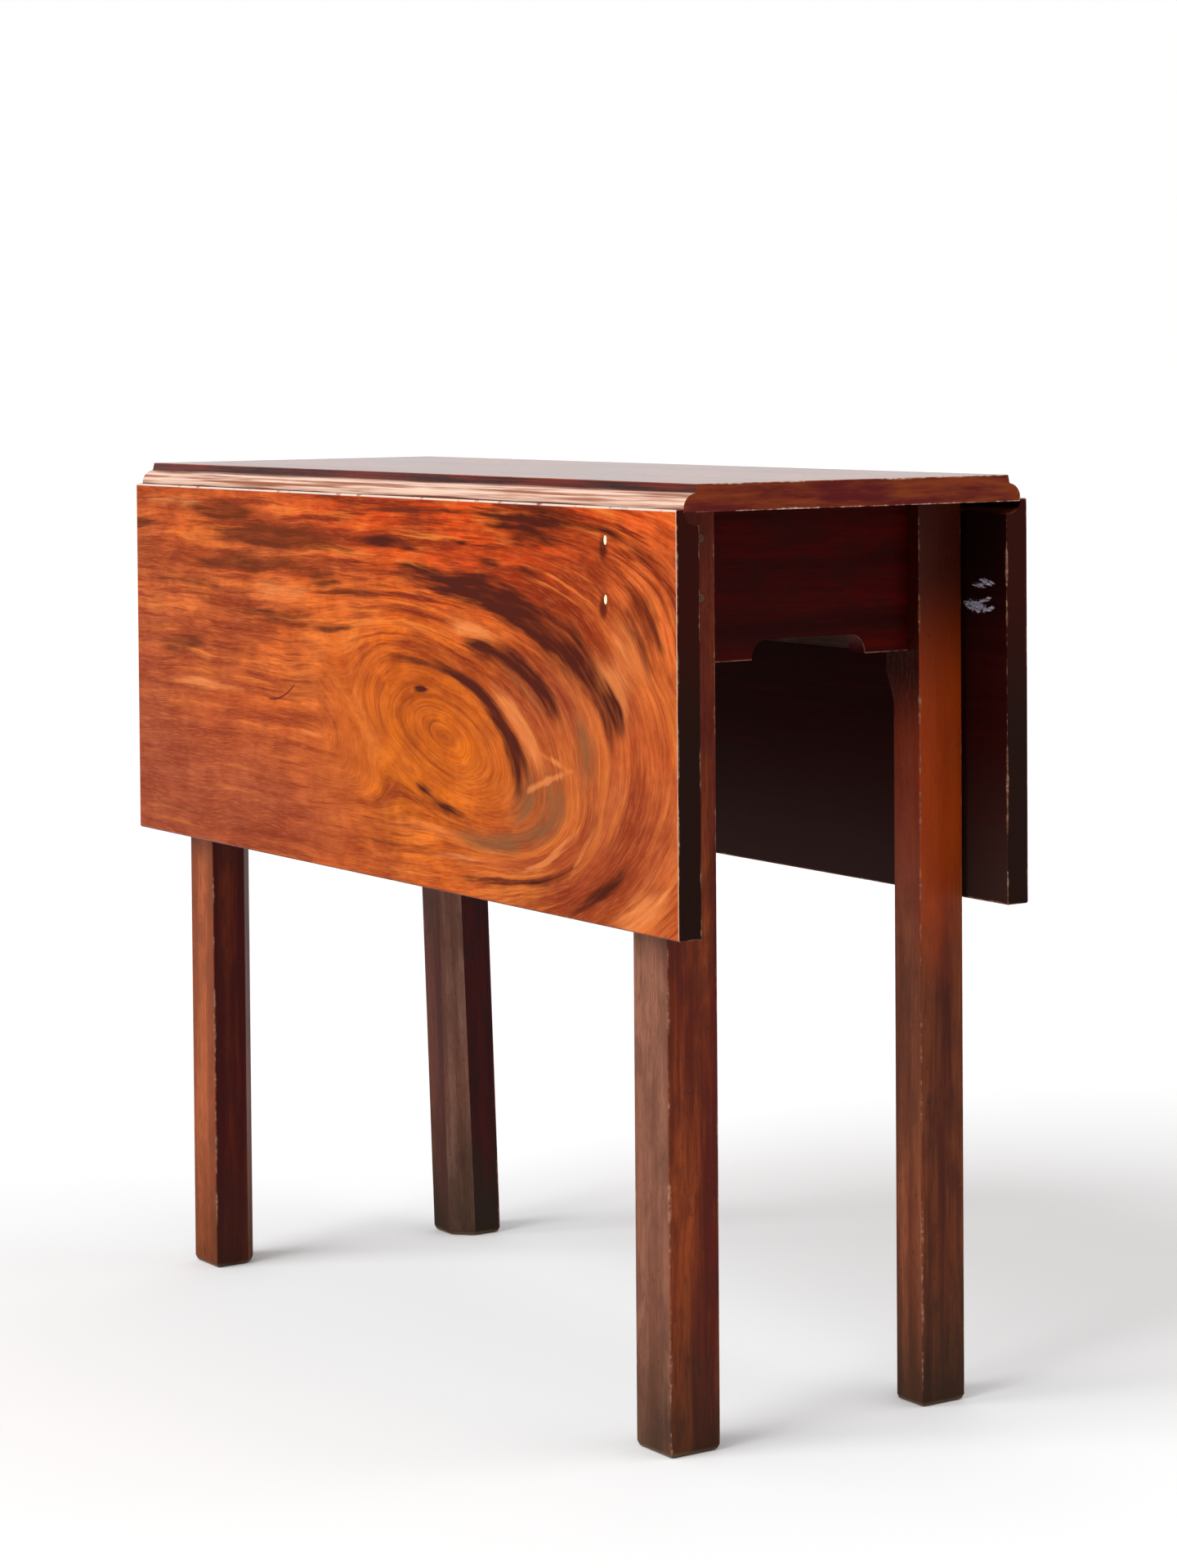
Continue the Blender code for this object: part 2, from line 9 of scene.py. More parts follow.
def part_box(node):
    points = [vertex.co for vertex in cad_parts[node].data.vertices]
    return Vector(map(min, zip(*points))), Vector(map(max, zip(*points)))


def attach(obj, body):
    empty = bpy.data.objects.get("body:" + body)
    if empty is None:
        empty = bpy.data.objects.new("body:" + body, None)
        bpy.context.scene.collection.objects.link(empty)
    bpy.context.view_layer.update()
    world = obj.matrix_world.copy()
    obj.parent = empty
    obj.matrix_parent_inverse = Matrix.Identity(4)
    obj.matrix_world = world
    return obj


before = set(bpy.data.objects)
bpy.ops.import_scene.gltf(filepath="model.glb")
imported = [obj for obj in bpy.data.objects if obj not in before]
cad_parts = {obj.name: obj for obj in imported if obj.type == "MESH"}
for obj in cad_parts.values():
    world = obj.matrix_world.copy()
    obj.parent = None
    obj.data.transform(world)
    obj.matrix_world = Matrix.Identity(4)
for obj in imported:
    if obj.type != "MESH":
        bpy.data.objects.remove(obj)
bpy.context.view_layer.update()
SIDES = ("front", "back")


# ---- colour ----
def tone(red, green, blue):
    """A colour given as screen values of 0 to 255, as the linear values that shaders use."""
    linear = []
    for channel in (red, green, blue):
        share = channel / 255
        linear.append(share / 12.92 if share <= 0.04045 else ((share + 0.055) / 1.055) ** 2.4)
    return (*linear, 1.0)


# How much light a face gets in this studio, over a plain white surround, and the pale sheen
# that it adds: for faces turned to the key light, and for the ends, which are in half shade.
KEY_LIGHT, KEY_HAZE = 1.22, 0.024
SHADE_LIGHT, SHADE_HAZE = 0.65, 0.012
POLISH_HAZE = 0.014
DARKEST = 0.0008


def lit(red, green, blue):
    """The paint that looks like these screen values on a face turned to the key light."""
    channels = tone(red, green, blue)[:3]
    return (*[max((c - KEY_HAZE) / KEY_LIGHT, DARKEST) for c in channels], 1.0)


def polished(red, green, blue):
    """The same for the leaves' outer faces, whose polish adds less haze."""
    channels = tone(red, green, blue)[:3]
    return (*[max((c - POLISH_HAZE) / KEY_LIGHT, DARKEST) for c in channels], 1.0)


def shaded(red, green, blue):
    """The paint that looks like these screen values on a face in half shade."""
    channels = tone(red, green, blue)[:3]
    return (*[max((c - SHADE_HAZE) / SHADE_LIGHT, DARKEST) for c in channels], 1.0)


# ---- a short way to write shader nodes ----
class Term:
    """The output of a node, which can be used in sums like a number."""

    def __init__(self, graph, socket):
        self.graph = graph
        self.socket = socket

    def __add__(self, other):
        return self.graph.math("ADD", self, other)

    def __radd__(self, other):
        return self.graph.math("ADD", other, self)

    def __sub__(self, other):
        return self.graph.math("SUBTRACT", self, other)

    def __rsub__(self, other):
        return self.graph.math("SUBTRACT", other, self)

    def __mul__(self, other):
        return self.graph.math("MULTIPLY", self, other)

    def __rmul__(self, other):
        return self.graph.math("MULTIPLY", other, self)

    def __truediv__(self, other):
        return self.graph.math("DIVIDE", self, other)


class NodeTree:
    """The nodes of a material or a world."""

    def __init__(self, tree):
        self.nodes = tree.nodes
        self.links = tree.links

    def node(self, kind):
        return self.nodes.new(kind)

    def feed(self, socket, value):
        if isinstance(value, Term):
            self.links.new(value.socket, socket)
        else:
            socket.default_value = value

    def math(self, operation, *values, clamp=False):
        node = self.node("ShaderNodeMath")
        node.operation = operation
        node.use_clamp = clamp
        for socket, value in zip(node.inputs, values):
            self.feed(socket, value)
        return Term(self, node.outputs[0])

    def absolute(self, value):
        return self.math("ABSOLUTE", value)

    def smallest(self, first, *others):
        for other in others:
            first = self.math("MINIMUM", first, other)
        return first

    def largest(self, first, *others):
        for other in others:
            first = self.math("MAXIMUM", first, other)
        return first

    def split(self, vector):
        node = self.node("ShaderNodeSeparateXYZ")
        self.links.new(vector.socket, node.inputs[0])
        return [Term(self, output) for output in node.outputs]

    def vector(self, x, y, z):
        node = self.node("ShaderNodeCombineXYZ")
        for socket, value in zip(node.inputs, (x, y, z)):
            self.feed(socket, value)
        return Term(self, node.outputs[0])

    def noise(self, vector, scale=1.0, detail=3.0, roughness=0.55, distortion=0.0):
        node = self.node("ShaderNodeTexNoise")
        self.links.new(vector.socket, node.inputs["Vector"])
        node.inputs["Scale"].default_value = scale
        node.inputs["Detail"].default_value = detail
        node.inputs["Roughness"].default_value = roughness
        node.inputs["Distortion"].default_value = distortion
        return Term(self, node.outputs[0])

    def step(self, value, low, high):
        """0 below low, 1 above high, smooth between. Low may be the greater."""
        node = self.node("ShaderNodeMapRange")
        node.interpolation_type = "SMOOTHSTEP"
        self.feed(node.inputs["Value"], value)
        node.inputs["From Min"].default_value = low
        node.inputs["From Max"].default_value = high
        return Term(self, node.outputs[0])

    def mix(self, share, first, second):
        node = self.node("ShaderNodeMix")
        node.data_type = "RGBA"
        self.feed(node.inputs[0], share)
        self.feed(node.inputs[6], first)
        self.feed(node.inputs[7], second)
        return Term(self, node.outputs[2])

    def spot(self, place, centre, reach):
        """A soft spot: 1 at the centre, falling off over reach, all three given as vectors."""
        shift = self.node("ShaderNodeVectorMath")
        shift.operation = "MULTIPLY_ADD"
        self.links.new(place.socket, shift.inputs[0])
        shift.inputs[1].default_value = [1 / r for r in reach]
        shift.inputs[2].default_value = [-c / r for c, r in zip(centre, reach)]
        square = self.node("ShaderNodeVectorMath")
        square.operation = "DOT_PRODUCT"
        self.links.new(shift.outputs[0], square.inputs[0])
        self.links.new(shift.outputs[0], square.inputs[1])
        return self.math("POWER", 1 / math.e, Term(self, square.outputs["Value"]))


class Graph(NodeTree):
    """One material, with the place and the facing of each point of its surface."""

    def __init__(self, name):
        self.material = bpy.data.materials.new(name)
        self.material.use_nodes = True
        super().__init__(self.material.node_tree)
        self.shader = self.nodes["Principled BSDF"]
        place = self.node("ShaderNodeTexCoord")
        self.x, self.y, self.z = self.split(Term(self, place.outputs["Object"]))
        normal = self.split(Term(self, place.outputs["Normal"]))
        self.facing_x, self.facing_y, self.facing_z = normal

    def finish(self, colour, roughness, bump=None, bump_depth=0.0002, specular=0.5,
               metallic=0.0):
        """Wire the shader. Numbers go on its own sockets."""
        self.feed(self.shader.inputs["Base Color"], colour)
        self.feed(self.shader.inputs["Roughness"], roughness)
        self.shader.inputs["Specular IOR Level"].default_value = specular
        self.shader.inputs["Metallic"].default_value = metallic
        if bump is not None:
            node = self.node("ShaderNodeBump")
            node.inputs["Strength"].default_value = 1.0
            node.inputs["Distance"].default_value = bump_depth
            self.links.new(bump.socket, node.inputs["Height"])
            self.links.new(node.outputs[0], self.shader.inputs["Normal"])
        return self.material


def arris_distance(g, x, y, z, low, high):
    """Distance from a point on a box's surface to the box's nearest edge."""
    squares = []
    for value, start, end in zip((x, y, z), low, high):
        gap = g.math("MAXIMUM", g.smallest(value - start, end - value), 0.0)
        squares.append(gap * gap)
    total = squares[0] + squares[1] + squares[2]
    return g.math("SQRT", g.math("MAXIMUM", total - g.largest(*squares), 0.0))


PORE_BLEND = 0.12


def pores(g, along, across, over, density):
    """Short dark vessel lines that run with the grain."""
    fine = g.noise(g.vector(along * 90.0, across * 1500.0, over * 1500.0), detail=1.0)
    return g.step(fine, density, density + PORE_BLEND)


# ---- figured mahogany: the leaves' show faces ----
# The grain flows along level lines of a field round a swirl: tilted, closed ellipses near its
# centre, long lines towards one end, and arcs that turn back from the top to the bottom edge at
# the other end.
OPEN_FLATTEN = 0.50  # height over width of the outer arcs
HIGH_FLATTEN = 0.34  # and high above the centre, where they run on to the end
HIGH_REACH = (0.06, 0.19)  # heights over the centre where the one gives way to the other
CLOSED_FLATTEN = 0.40  # and of the ellipses
CLOSED_TILT = math.radians(15)
TILT_COS, TILT_SIN = math.cos(CLOSED_TILT), math.sin(CLOSED_TILT)
BEND_SOFTNESS = 0.050
CLOSED_REACH = (0.050, 0.100)  # field values where the ellipses give way to the arcs
STRAIGHT_SIDE = -0.13  # from here, on the long side of the centre, the grain turns level
STRAIGHT_BLEND = 0.12  # and is level this much further on


def smooth(value, low, high):
    """The same as NodeTree.step, in plain numbers."""
    share = min(max((value - low) / (high - low), 0), 1)
    return share * share * (3 - 2 * share)


def field_value(across, up):
    """The field in plain numbers, for placing streaks."""
    reach = (across + math.hypot(across, BEND_SOFTNESS)) / 2
    flatten = OPEN_FLATTEN + smooth(up, *HIGH_REACH) * (HIGH_FLATTEN - OPEN_FLATTEN)
    outer = math.hypot(flatten * reach, up)
    along = across * TILT_COS - up * TILT_SIN
    over = across * TILT_SIN + up * TILT_COS
    inner = math.hypot(CLOSED_FLATTEN * along, over)
    return outer + smooth(inner, CLOSED_REACH[1], CLOSED_REACH[0]) * (inner - outer)


def field_nodes(g, across, up):
    """The same field as nodes."""
    root = g.math("SQRT", across * across + BEND_SOFTNESS ** 2)
    flatten = g.step(up, *HIGH_REACH) * (HIGH_FLATTEN - OPEN_FLATTEN) + OPEN_FLATTEN
    reach = (across + root) * 0.5 * flatten
    outer = g.math("SQRT", reach * reach + up * up)
    along = (across * TILT_COS - up * TILT_SIN) * CLOSED_FLATTEN
    over = across * TILT_SIN + up * TILT_COS
    inner = g.math("SQRT", along * along + over * over)
    return outer + g.step(inner, CLOSED_REACH[1], CLOSED_REACH[0]) * (inner - outer)


# Streaks that follow the grain: X, Z, half length, half width, strength. They may overlap.
FRONT_BROWN = (
    (-0.259, 0.681, 0.06, 0.0075, 1.15),
    (-0.182, 0.662, 0.09, 0.0098, 1.5),
    (-0.085, 0.655, 0.045, 0.0045, 0.65),
    (-0.224, 0.639, 0.1, 0.008, 1.1),
    (-0.085, 0.627, 0.026, 0.006, 1.2),
    (-0.042, 0.619, 0.045, 0.0042, 0.85),
    (-0.32, 0.617, 0.1, 0.0042, 0.6),
    (-0.165, 0.596, 0.058, 0.008, 0.95),
    (-0.055, 0.589, 0.05, 0.0028, 0.75),
    (-0.337, 0.561, 0.042, 0.0095, 0.85),
    (-0.415, 0.669, 0.03, 0.0065, 0.85),
    (-0.324, 0.417, 0.12, 0.003, 0.4),
    (-0.174, 0.409, 0.12, 0.003, 0.4),
)
FRONT_DARK = (
    (0.0, 0.627, 0.05, 0.003, 0.4),
    (0.016, 0.665, 0.034, 0.0045, 1.05),
    (0.05, 0.661, 0.035, 0.003, 0.7),
    (0.09, 0.692, 0.1, 0.003, 0.6),
    (0.226, 0.685, 0.055, 0.0108, 1.0),
    (0.336, 0.679, 0.06, 0.0035, 0.75),
    (0.131, 0.669, 0.012, 0.002, 0.9),
    (0.175, 0.656, 0.018, 0.0028, 1.0),
    (0.212, 0.671, 0.018, 0.0068, 0.55),
    (0.224, 0.65, 0.02, 0.0028, 0.8),
    (0.056, 0.642, 0.04, 0.0068, 0.6),
    (0.116, 0.638, 0.055, 0.0095, 1.0),
    (0.176, 0.63, 0.05, 0.0121, 0.9),
    (0.236, 0.612, 0.05, 0.0121, 1.0),
    (0.291, 0.589, 0.045, 0.0108, 0.95),
    (0.158, 0.588, 0.022, 0.006, 1.0),
    (0.206, 0.577, 0.035, 0.0095, 0.75),
    (0.251, 0.559, 0.035, 0.0095, 0.6),
    (0.381, 0.612, 0.04, 0.0108, 0.6),
    (0.341, 0.545, 0.024, 0.0095, 0.7),
    (0.066, 0.571, 0.04, 0.003, 0.8),
    (0.116, 0.566, 0.03, 0.0035, 0.9),
    (0.156, 0.552, 0.028, 0.0045, 1.0),
    (0.184, 0.532, 0.025, 0.005, 1.0),
    (0.208, 0.507, 0.026, 0.006, 1.0),
    (0.069, 0.549, 0.009, 0.002, 1.5),
    (0.109, 0.456, 0.028, 0.005, 0.95),
    (0.071, 0.469, 0.012, 0.004, 0.6),
    (0.026, 0.422, 0.08, 0.003, 0.5),
    (0.176, 0.406, 0.06, 0.004, 0.6),
    (0.255, 0.416, 0.045, 0.004, 0.65),
    (0.316, 0.467, 0.03, 0.005, 0.45),
    (0.322, 0.414, 0.04, 0.0045, 0.8),
)
FRONT_OLIVE = (
    (0.166, 0.432, 0.05, 0.01, 0.95),
    (0.264, 0.475, 0.04, 0.013, 0.75),
    (0.303, 0.517, 0.028, 0.009, 0.8),
    (0.222, 0.48, 0.03, 0.012, 0.7),
    (0.196, 0.44, 0.05, 0.009, 0.6),
)
FRONT_LIGHT = (
    (-0.159, 0.617, 0.045, 0.012, 0.7),
    (0.149, 0.602, 0.03, 0.008, 0.9),
    (0.341, 0.566, 0.03, 0.012, 0.95),
    (0.366, 0.594, 0.03, 0.008, 0.8),
    (0.2, 0.542, 0.026, 0.0065, 0.9),
    (0.228, 0.518, 0.024, 0.0065, 0.95),
    (0.211, 0.567, 0.035, 0.0025, 0.7),
    (-0.291, 0.527, 0.07, 0.006, 0.6),
    (-0.099, 0.499, 0.03, 0.003, 0.5),
    (0.376, 0.405, 0.05, 0.012, 0.8),
    (-0.347, 0.688, 0.06, 0.008, 0.6),
    (0.07, 0.44, 0.06, 0.004, 0.5),
    (0.13, 0.418, 0.06, 0.003, 0.6),
)
# Pale flecks that cross the grain: X, Z, half length, half width, slope in degrees, strength.
FRONT_FLECKS = (
    (0.252, 0.492, 0.036, 0.0035, 17, 0.95),
    (0.262, 0.508, 0.022, 0.003, -12, 0.8),
    (0.268, 0.442, 0.05, 0.0035, 35, 0.75),
    (0.302, 0.446, 0.04, 0.0035, 52, 0.65),
    (0.236, 0.425, 0.05, 0.003, 22, 0.6),
)
BACK_BROWN = (
    (0.18, 0.64, 0.09, 0.006, 0.8),
    (0.05, 0.52, 0.12, 0.004, 0.5),
    (0.26, 0.45, 0.09, 0.005, 0.5),
    (0.3, 0.56, 0.08, 0.006, 0.7),
)
BACK_DARK = (
    (-0.12, 0.66, 0.11, 0.007, 0.9),
    (-0.26, 0.6, 0.06, 0.006, 0.8),
    (-0.18, 0.56, 0.06, 0.005, 0.7),
    (-0.32, 0.47, 0.05, 0.01, 0.6),
    (-0.15, 0.44, 0.07, 0.006, 0.8),
)
BACK_OLIVE = ((-0.29, 0.51, 0.04, 0.012, 0.8), (-0.23, 0.44, 0.05, 0.01, 0.7))
BACK_LIGHT = (
    (-0.24, 0.545, 0.06, 0.008, 0.8),
    (0.02, 0.6, 0.12, 0.007, 0.5),
    (-0.34, 0.6, 0.05, 0.01, 0.7),
)
BACK_FLECKS = ((-0.27, 0.48, 0.036, 0.0035, -25, 0.8),)
FRONT_FIGURE = {
    "centre": (0.106, 0.513), "turn": 1.0, "seed": 0.0,
    "dark": FRONT_DARK, "brown": FRONT_BROWN, "olive": FRONT_OLIVE, "light": FRONT_LIGHT,
    "flecks": FRONT_FLECKS,
}
BACK_FIGURE = {
    "centre": (-0.150, 0.500), "turn": -1.0, "seed": 7.3,
    "dark": BACK_DARK, "brown": BACK_BROWN, "olive": BACK_OLIVE, "light": BACK_LIGHT,
    "flecks": BACK_FLECKS,
}

ORANGE = polished(230, 106, 44)
SALMON = polished(234, 124, 64)
AMBER = polished(240, 122, 14)
AMBER_LIGHT = polished(255, 138, 40)
RED_ORANGE = polished(238, 82, 16)
DEEP_RED = polished(190, 54, 10)
ROSE_BROWN = polished(168, 84, 56)
STREAK_DARK = polished(84, 40, 10)
STREAK_OLIVE = polished(136, 92, 60)
STREAK_LIGHT = polished(236, 140, 80)
BAND_DARK = polished(132, 50, 14)
BAND_LIGHT = polished(248, 140, 62)
RING_BROWN = polished(140, 62, 8)
ROSE_DARK = polished(146, 66, 44)
STREAK_BROWN = polished(110, 52, 28)
# Broad changes of tone: paint, X and Z from the swirl's centre, half width, half height, strength.
FACE_TONES = (
    (AMBER, -0.04, -0.01, 0.17, 0.1, 1.0),
    (AMBER, 0.06, 0.02, 0.1, 0.07, 1.0),
    (RED_ORANGE, 0.26, 0.18, 0.3, 0.085, 1.0),
    (RED_ORANGE, -0.06, 0.19, 0.22, 0.045, 1.0),
    (DEEP_RED, 0.12, 0.125, 0.16, 0.03, 0.8),
    (ROSE_BROWN, -0.5, -0.1, 0.17, 0.11, 1.0),
    (ROSE_BROWN, -0.32, -0.08, 0.2, 0.07, 0.8),
    (ROSE_BROWN, 0.16, 0.045, 0.11, 0.04, 0.9),
    (ROSE_BROWN, 0.23, -0.05, 0.13, 0.075, 0.8),
    (ROSE_BROWN, -0.51, -0.02, 0.06, 0.14, 0.8),
    (ROSE_DARK, 0.15, -0.105, 0.12, 0.035, 0.9),
    (AMBER_LIGHT, -0.07, -0.045, 0.05, 0.04, 0.7),
    (SALMON, 0.27, 0.13, 0.1, 0.06, 0.7),
)
# Where the bands show more, and where less: X and Z from the centre, half width, half height.
LIVELY_AREA = (0.12, 0.15, 0.34, 0.075)
PLAIN_AREAS = ((-0.42, -0.09, 0.3, 0.09), (0.22, 0.0, 0.12, 0.12))
CALM_FIELD = (0.075, 0.04)
# Noises along the grain: count to a metre across it, stretch, detail and place in the noise.
GRAIN_BANDS = {
    "patches": (24.0, 9.0, 4.0, 20.7),
    "broad": (42.0, 3.0, 3.0, 0.0),
    "lines": (150.0, 7.0, 3.0, 3.1),
    "fine": (430.0, 18.0, 2.0, 5.7),
    "hair": (1300.0, 60.0, 1.0, 8.9),
    "torn": (230.0, 16.0, 3.0, 12.3),
    "tufts": (60.0, 22.0, 2.0, 15.1),
}
# Bands in the order they are laid on: noise, where it starts, where it is full, strength, paint.
BAND_PAINTS = (
    ("patches", 0.5, 0.34, 0.55, BAND_DARK),
    ("patches", 0.54, 0.7, 0.45, BAND_LIGHT),
    ("broad", 0.54, 0.36, 0.58, BAND_DARK),
    ("broad", 0.56, 0.7, 0.45, BAND_LIGHT),
    ("lines", 0.5, 0.35, 0.74, BAND_DARK),
    ("lines", 0.57, 0.7, 0.42, BAND_LIGHT),
    ("fine", 0.5, 0.36, 0.36, BAND_DARK),
)
HAIR_PAINTS = ((0.52, 0.66, 0.16, STREAK_LIGHT), (0.48, 0.34, 0.22, BAND_DARK))
RING_COUNT = 230.0  # fine rings to a metre of the field
RING_FIELD = (0.052, 0.03)
RING_SIDE = (-0.2, -0.1)
# The streaks' coats: list in the figure, paint, cover, and the sum where it starts and is full.
STREAK_COATS = (
    ("olive", STREAK_OLIVE, 0.75, 0.04, 0.95),
    ("light", STREAK_LIGHT, 0.78, 0.04, 0.86),
    ("brown", STREAK_BROWN, 0.95, 0.04, 0.86),
    ("dark", STREAK_BROWN, 0.58, 0.04, 0.6),
    ("dark", STREAK_DARK, 1.15, 0.18, 0.98),
)
DRIFT = 0.016  # how far the grain wanders, slowly and in small ripples
RIPPLE = 0.005
FACE_PORES = 0.60


class Grain:
    """How the grain flows over one figured face, from X and Z."""

    def __init__(self, g, figure):
        self.g = g
        self.figure = figure
        self.seed = figure["seed"]
        self.turn = figure["turn"]
        self.centre_x, self.centre_z = figure["centre"]
        self.wave = self.sway()
        self.across = (g.x - self.centre_x) * self.turn
        self.up = g.z - self.centre_z + self.wave
        self.field = field_nodes(g, self.across, self.up)
        self.swirl_side = g.step(self.across, STRAIGHT_SIDE - STRAIGHT_BLEND, STRAIGHT_SIDE)
        self.place = g.vector(g.x * self.turn, g.z, 0.0)
        self.noise = {name: self.bands(*scales) for name, scales in GRAIN_BANDS.items()}

    def sway(self):
        """How far the grain wanders up or down."""
        g = self.g
        slow = g.vector(g.x * 5.0 + self.seed, g.z * 9.0, self.seed)
        quick = g.vector(g.x * 16.0, g.z * 44.0 + self.seed, self.seed)
        drift = g.noise(slow, detail=1.0) - 0.5
        ripple = g.noise(quick, detail=2.0) - 0.5
        return drift * DRIFT + ripple * RIPPLE

    def bands(self, count, stretch, detail, offset):
        """Noise drawn out along the grain; on the straight side it follows the height alone."""
        g = self.g
        x, z = g.x * stretch + (self.seed + offset), g.z * stretch
        turned = g.noise(g.vector(self.field * count, x, z), detail=detail, roughness=0.6)
        level = g.noise(g.vector(self.up * count, x, z), detail=detail, roughness=0.6)
        return level + self.swirl_side * (turned - level)

    def area(self, x, z, half_width, half_height):
        """A broad, soft spot, placed from the swirl's centre."""
        centre = (self.centre_x * self.turn + x, self.centre_z + z, 0)
        return self.g.spot(self.place, centre, (half_width, half_height, 1))

    def liveliness(self):
        """How strongly the bands show: less near the centre and on the plain areas."""
        g = self.g
        calm = 1.0 - g.step(self.field, *CALM_FIELD) * self.swirl_side * 0.50
        lively = self.area(*LIVELY_AREA)
        plain = g.largest(*[self.area(*place) for place in PLAIN_AREAS])
        return calm * (1.0 - plain * 0.45) * (1.0 + lively * 0.65)


def sum_streaks(g, place, figure, streaks):
    """The soft shapes of a list of streaks, added up."""
    centre_x, centre_z = figure["centre"]
    total = None
    for x, z, length, width, strength in streaks:
        across = (x - centre_x) * figure["turn"]
        level = field_value(across, z - centre_z)
        lift = length if across > STRAIGHT_SIDE else 2 * width
        mark = g.spot(place, (x, z, level), (length, lift, width)) * strength
        total = mark if total is None else total + mark
    return total


def sum_flecks(g, x, z, flecks):
    """The soft shapes of a list of flecks that lie at their own slopes."""
    total = None
    for fleck_x, fleck_z, length, width, slope, strength in flecks:
        across, up = x - fleck_x, z - fleck_z
        cosine, sine = math.cos(math.radians(slope)), math.sin(math.radians(slope))
        turned = g.vector(across * cosine + up * sine, up * cosine - across * sine, 0.0)
        mark = g.spot(turned, (0, 0, 0), (length, width, 1)) * strength
        total = mark if total is None else total + mark
    return total


def face_ground(g, grain, cloud):
    """The face's ground colour and its broad changes of tone."""
    colour = g.mix(g.step(cloud, 0.35, 0.68), ORANGE, SALMON)
    for paint, x, z, half_width, half_height, strength in FACE_TONES:
        share = grain.area(x, z, half_width, half_height)
        colour = g.mix(share * strength, colour, paint)
    return colour


def add_bands(g, grain, colour):
    """Mottling, then the light and dark bands of the grain, from patches down to hair lines."""
    mottle = g.noise(g.vector(g.x * 26.0, grain.seed, g.z * 34.0), detail=3.0, roughness=0.65)
    colour = g.mix(g.step(mottle, 0.62, 0.38) * 0.36, colour, BAND_DARK)
    liveliness = grain.liveliness()
    for name, start, full, strength, paint in BAND_PAINTS:
        share = g.step(grain.noise[name], start, full) * liveliness * strength
        colour = g.mix(share, colour, paint)
    for start, full, strength, paint in HAIR_PAINTS:
        colour = g.mix(g.step(grain.noise["hair"], start, full) * strength, colour, paint)
    return colour


def add_rings(g, grain, colour):
    """Fine dark rings round the swirl's centre."""
    ring = g.noise(g.vector(grain.field * RING_COUNT, grain.seed, 0.0), detail=1.0)
    cover = g.step(grain.field, *RING_FIELD) * g.step(grain.across, *RING_SIDE)
    cover = cover * g.step(grain.noise["patches"], 0.70, 0.35)
    return g.mix(g.step(ring, 0.50, 0.38) * cover * 0.60, colour, RING_BROWN)


def add_streaks(g, grain, colour):
    """The figure's own streaks, torn along the grain, and the flecks over them."""
    place = g.vector(g.x, g.z + grain.wave, grain.field)
    torn = grain.noise["torn"] - 0.5
    tufts = grain.noise["tufts"] - 0.5
    body = 0.86 + 1.7 * torn + 0.3 * tufts
    for name, paint, cover, start, full in STREAK_COATS:
        total = sum_streaks(g, place, grain.figure, grain.figure[name])
        total = total + (torn * 1.1 + tufts * 0.8) * g.step(total, 0.04, 0.40)
        share = g.math("MULTIPLY", g.step(total, start, full), cover * body, clamp=True)
        colour = g.mix(share, colour, paint)
    flecks = sum_flecks(g, g.x, g.z + grain.wave, grain.figure["flecks"])
    flecks = flecks + torn * g.step(flecks, 0.05, 0.40) * 1.5
    return g.mix(g.step(flecks, 0.25, 0.85) * 0.65, colour, STREAK_LIGHT)


def show_face(g, figure):
    """Colour, height and cloudiness of a figured face."""
    grain = Grain(g, figure)
    cloud_place = g.vector(g.x * 6.0 + grain.seed, 0.0, g.z * 11.0)
    cloud = g.noise(cloud_place, detail=3.0, roughness=0.6)
    colour = face_ground(g, grain, cloud)
    colour = add_bands(g, grain, colour)
    colour = add_rings(g, grain, colour)
    colour = add_streaks(g, grain, colour)
    vessel = pores(g, g.x, grain.field, g.z, FACE_PORES)
    colour = g.mix(vessel * 0.25, colour, STREAK_DARK)
    height = grain.noise["lines"] * 0.15 + vessel * -0.25 + cloud * 2.0
    return colour, height, cloud


# ---- wear and marks ----
WORN = tone(176, 120, 90)
WORN_PALE = tone(222, 196, 172)
EDGE_WEAR = 0.0012  # how wide the polish is rubbed off along an edge
RIM_WIDTH = 0.0013
# Rim tones: wear together with a painted highlight on the leaf's arrises.
RIM_PALE_WEAR_HIGHLIGHT = tone(214, 168, 140)
RIM_WHITE_WEAR_HIGHLIGHT = tone(236, 222, 208)
CRACK_RED = tone(90, 20, 14)
CRACK_PLACE = (-0.158, 0.527)  # X and Z of the hair crack's middle
CRACK_SLOPE = 0.33
CRACK_ARCH = 9.0
CRACK_WIDTH = (0.0013, 0.0004)
CRACK_REACH = (0.026, 0.018)
# Filler in two old screw holes of the front leaf, its near-white partly a painted glint, with a
# dark stain round each.
PLUG_X = 0.333
PLUG_HEIGHTS = (0.677, 0.633)
STAIN_SHIFT = (-0.003, -0.006)
STAIN_REACH = (0.0065, 0.011)
# X, Z, half length, half height and slope of each pale mark.
PALE_MARKS = (
    (0.387, 0.618, 0.016, 0.0054, -0.1),
    (0.396, 0.6225, 0.013, 0.002, 0.25),
    (0.404, 0.6165, 0.008, 0.0022, 0.2),
    (0.391, 0.634, 0.009, 0.0021, -0.08),
    (0.4, 0.637, 0.011, 0.003, -0.15),
)
PALE_MARK_GREY = tone(142, 140, 164)
PALE_MARK_LIGHT = tone(216, 200, 192)


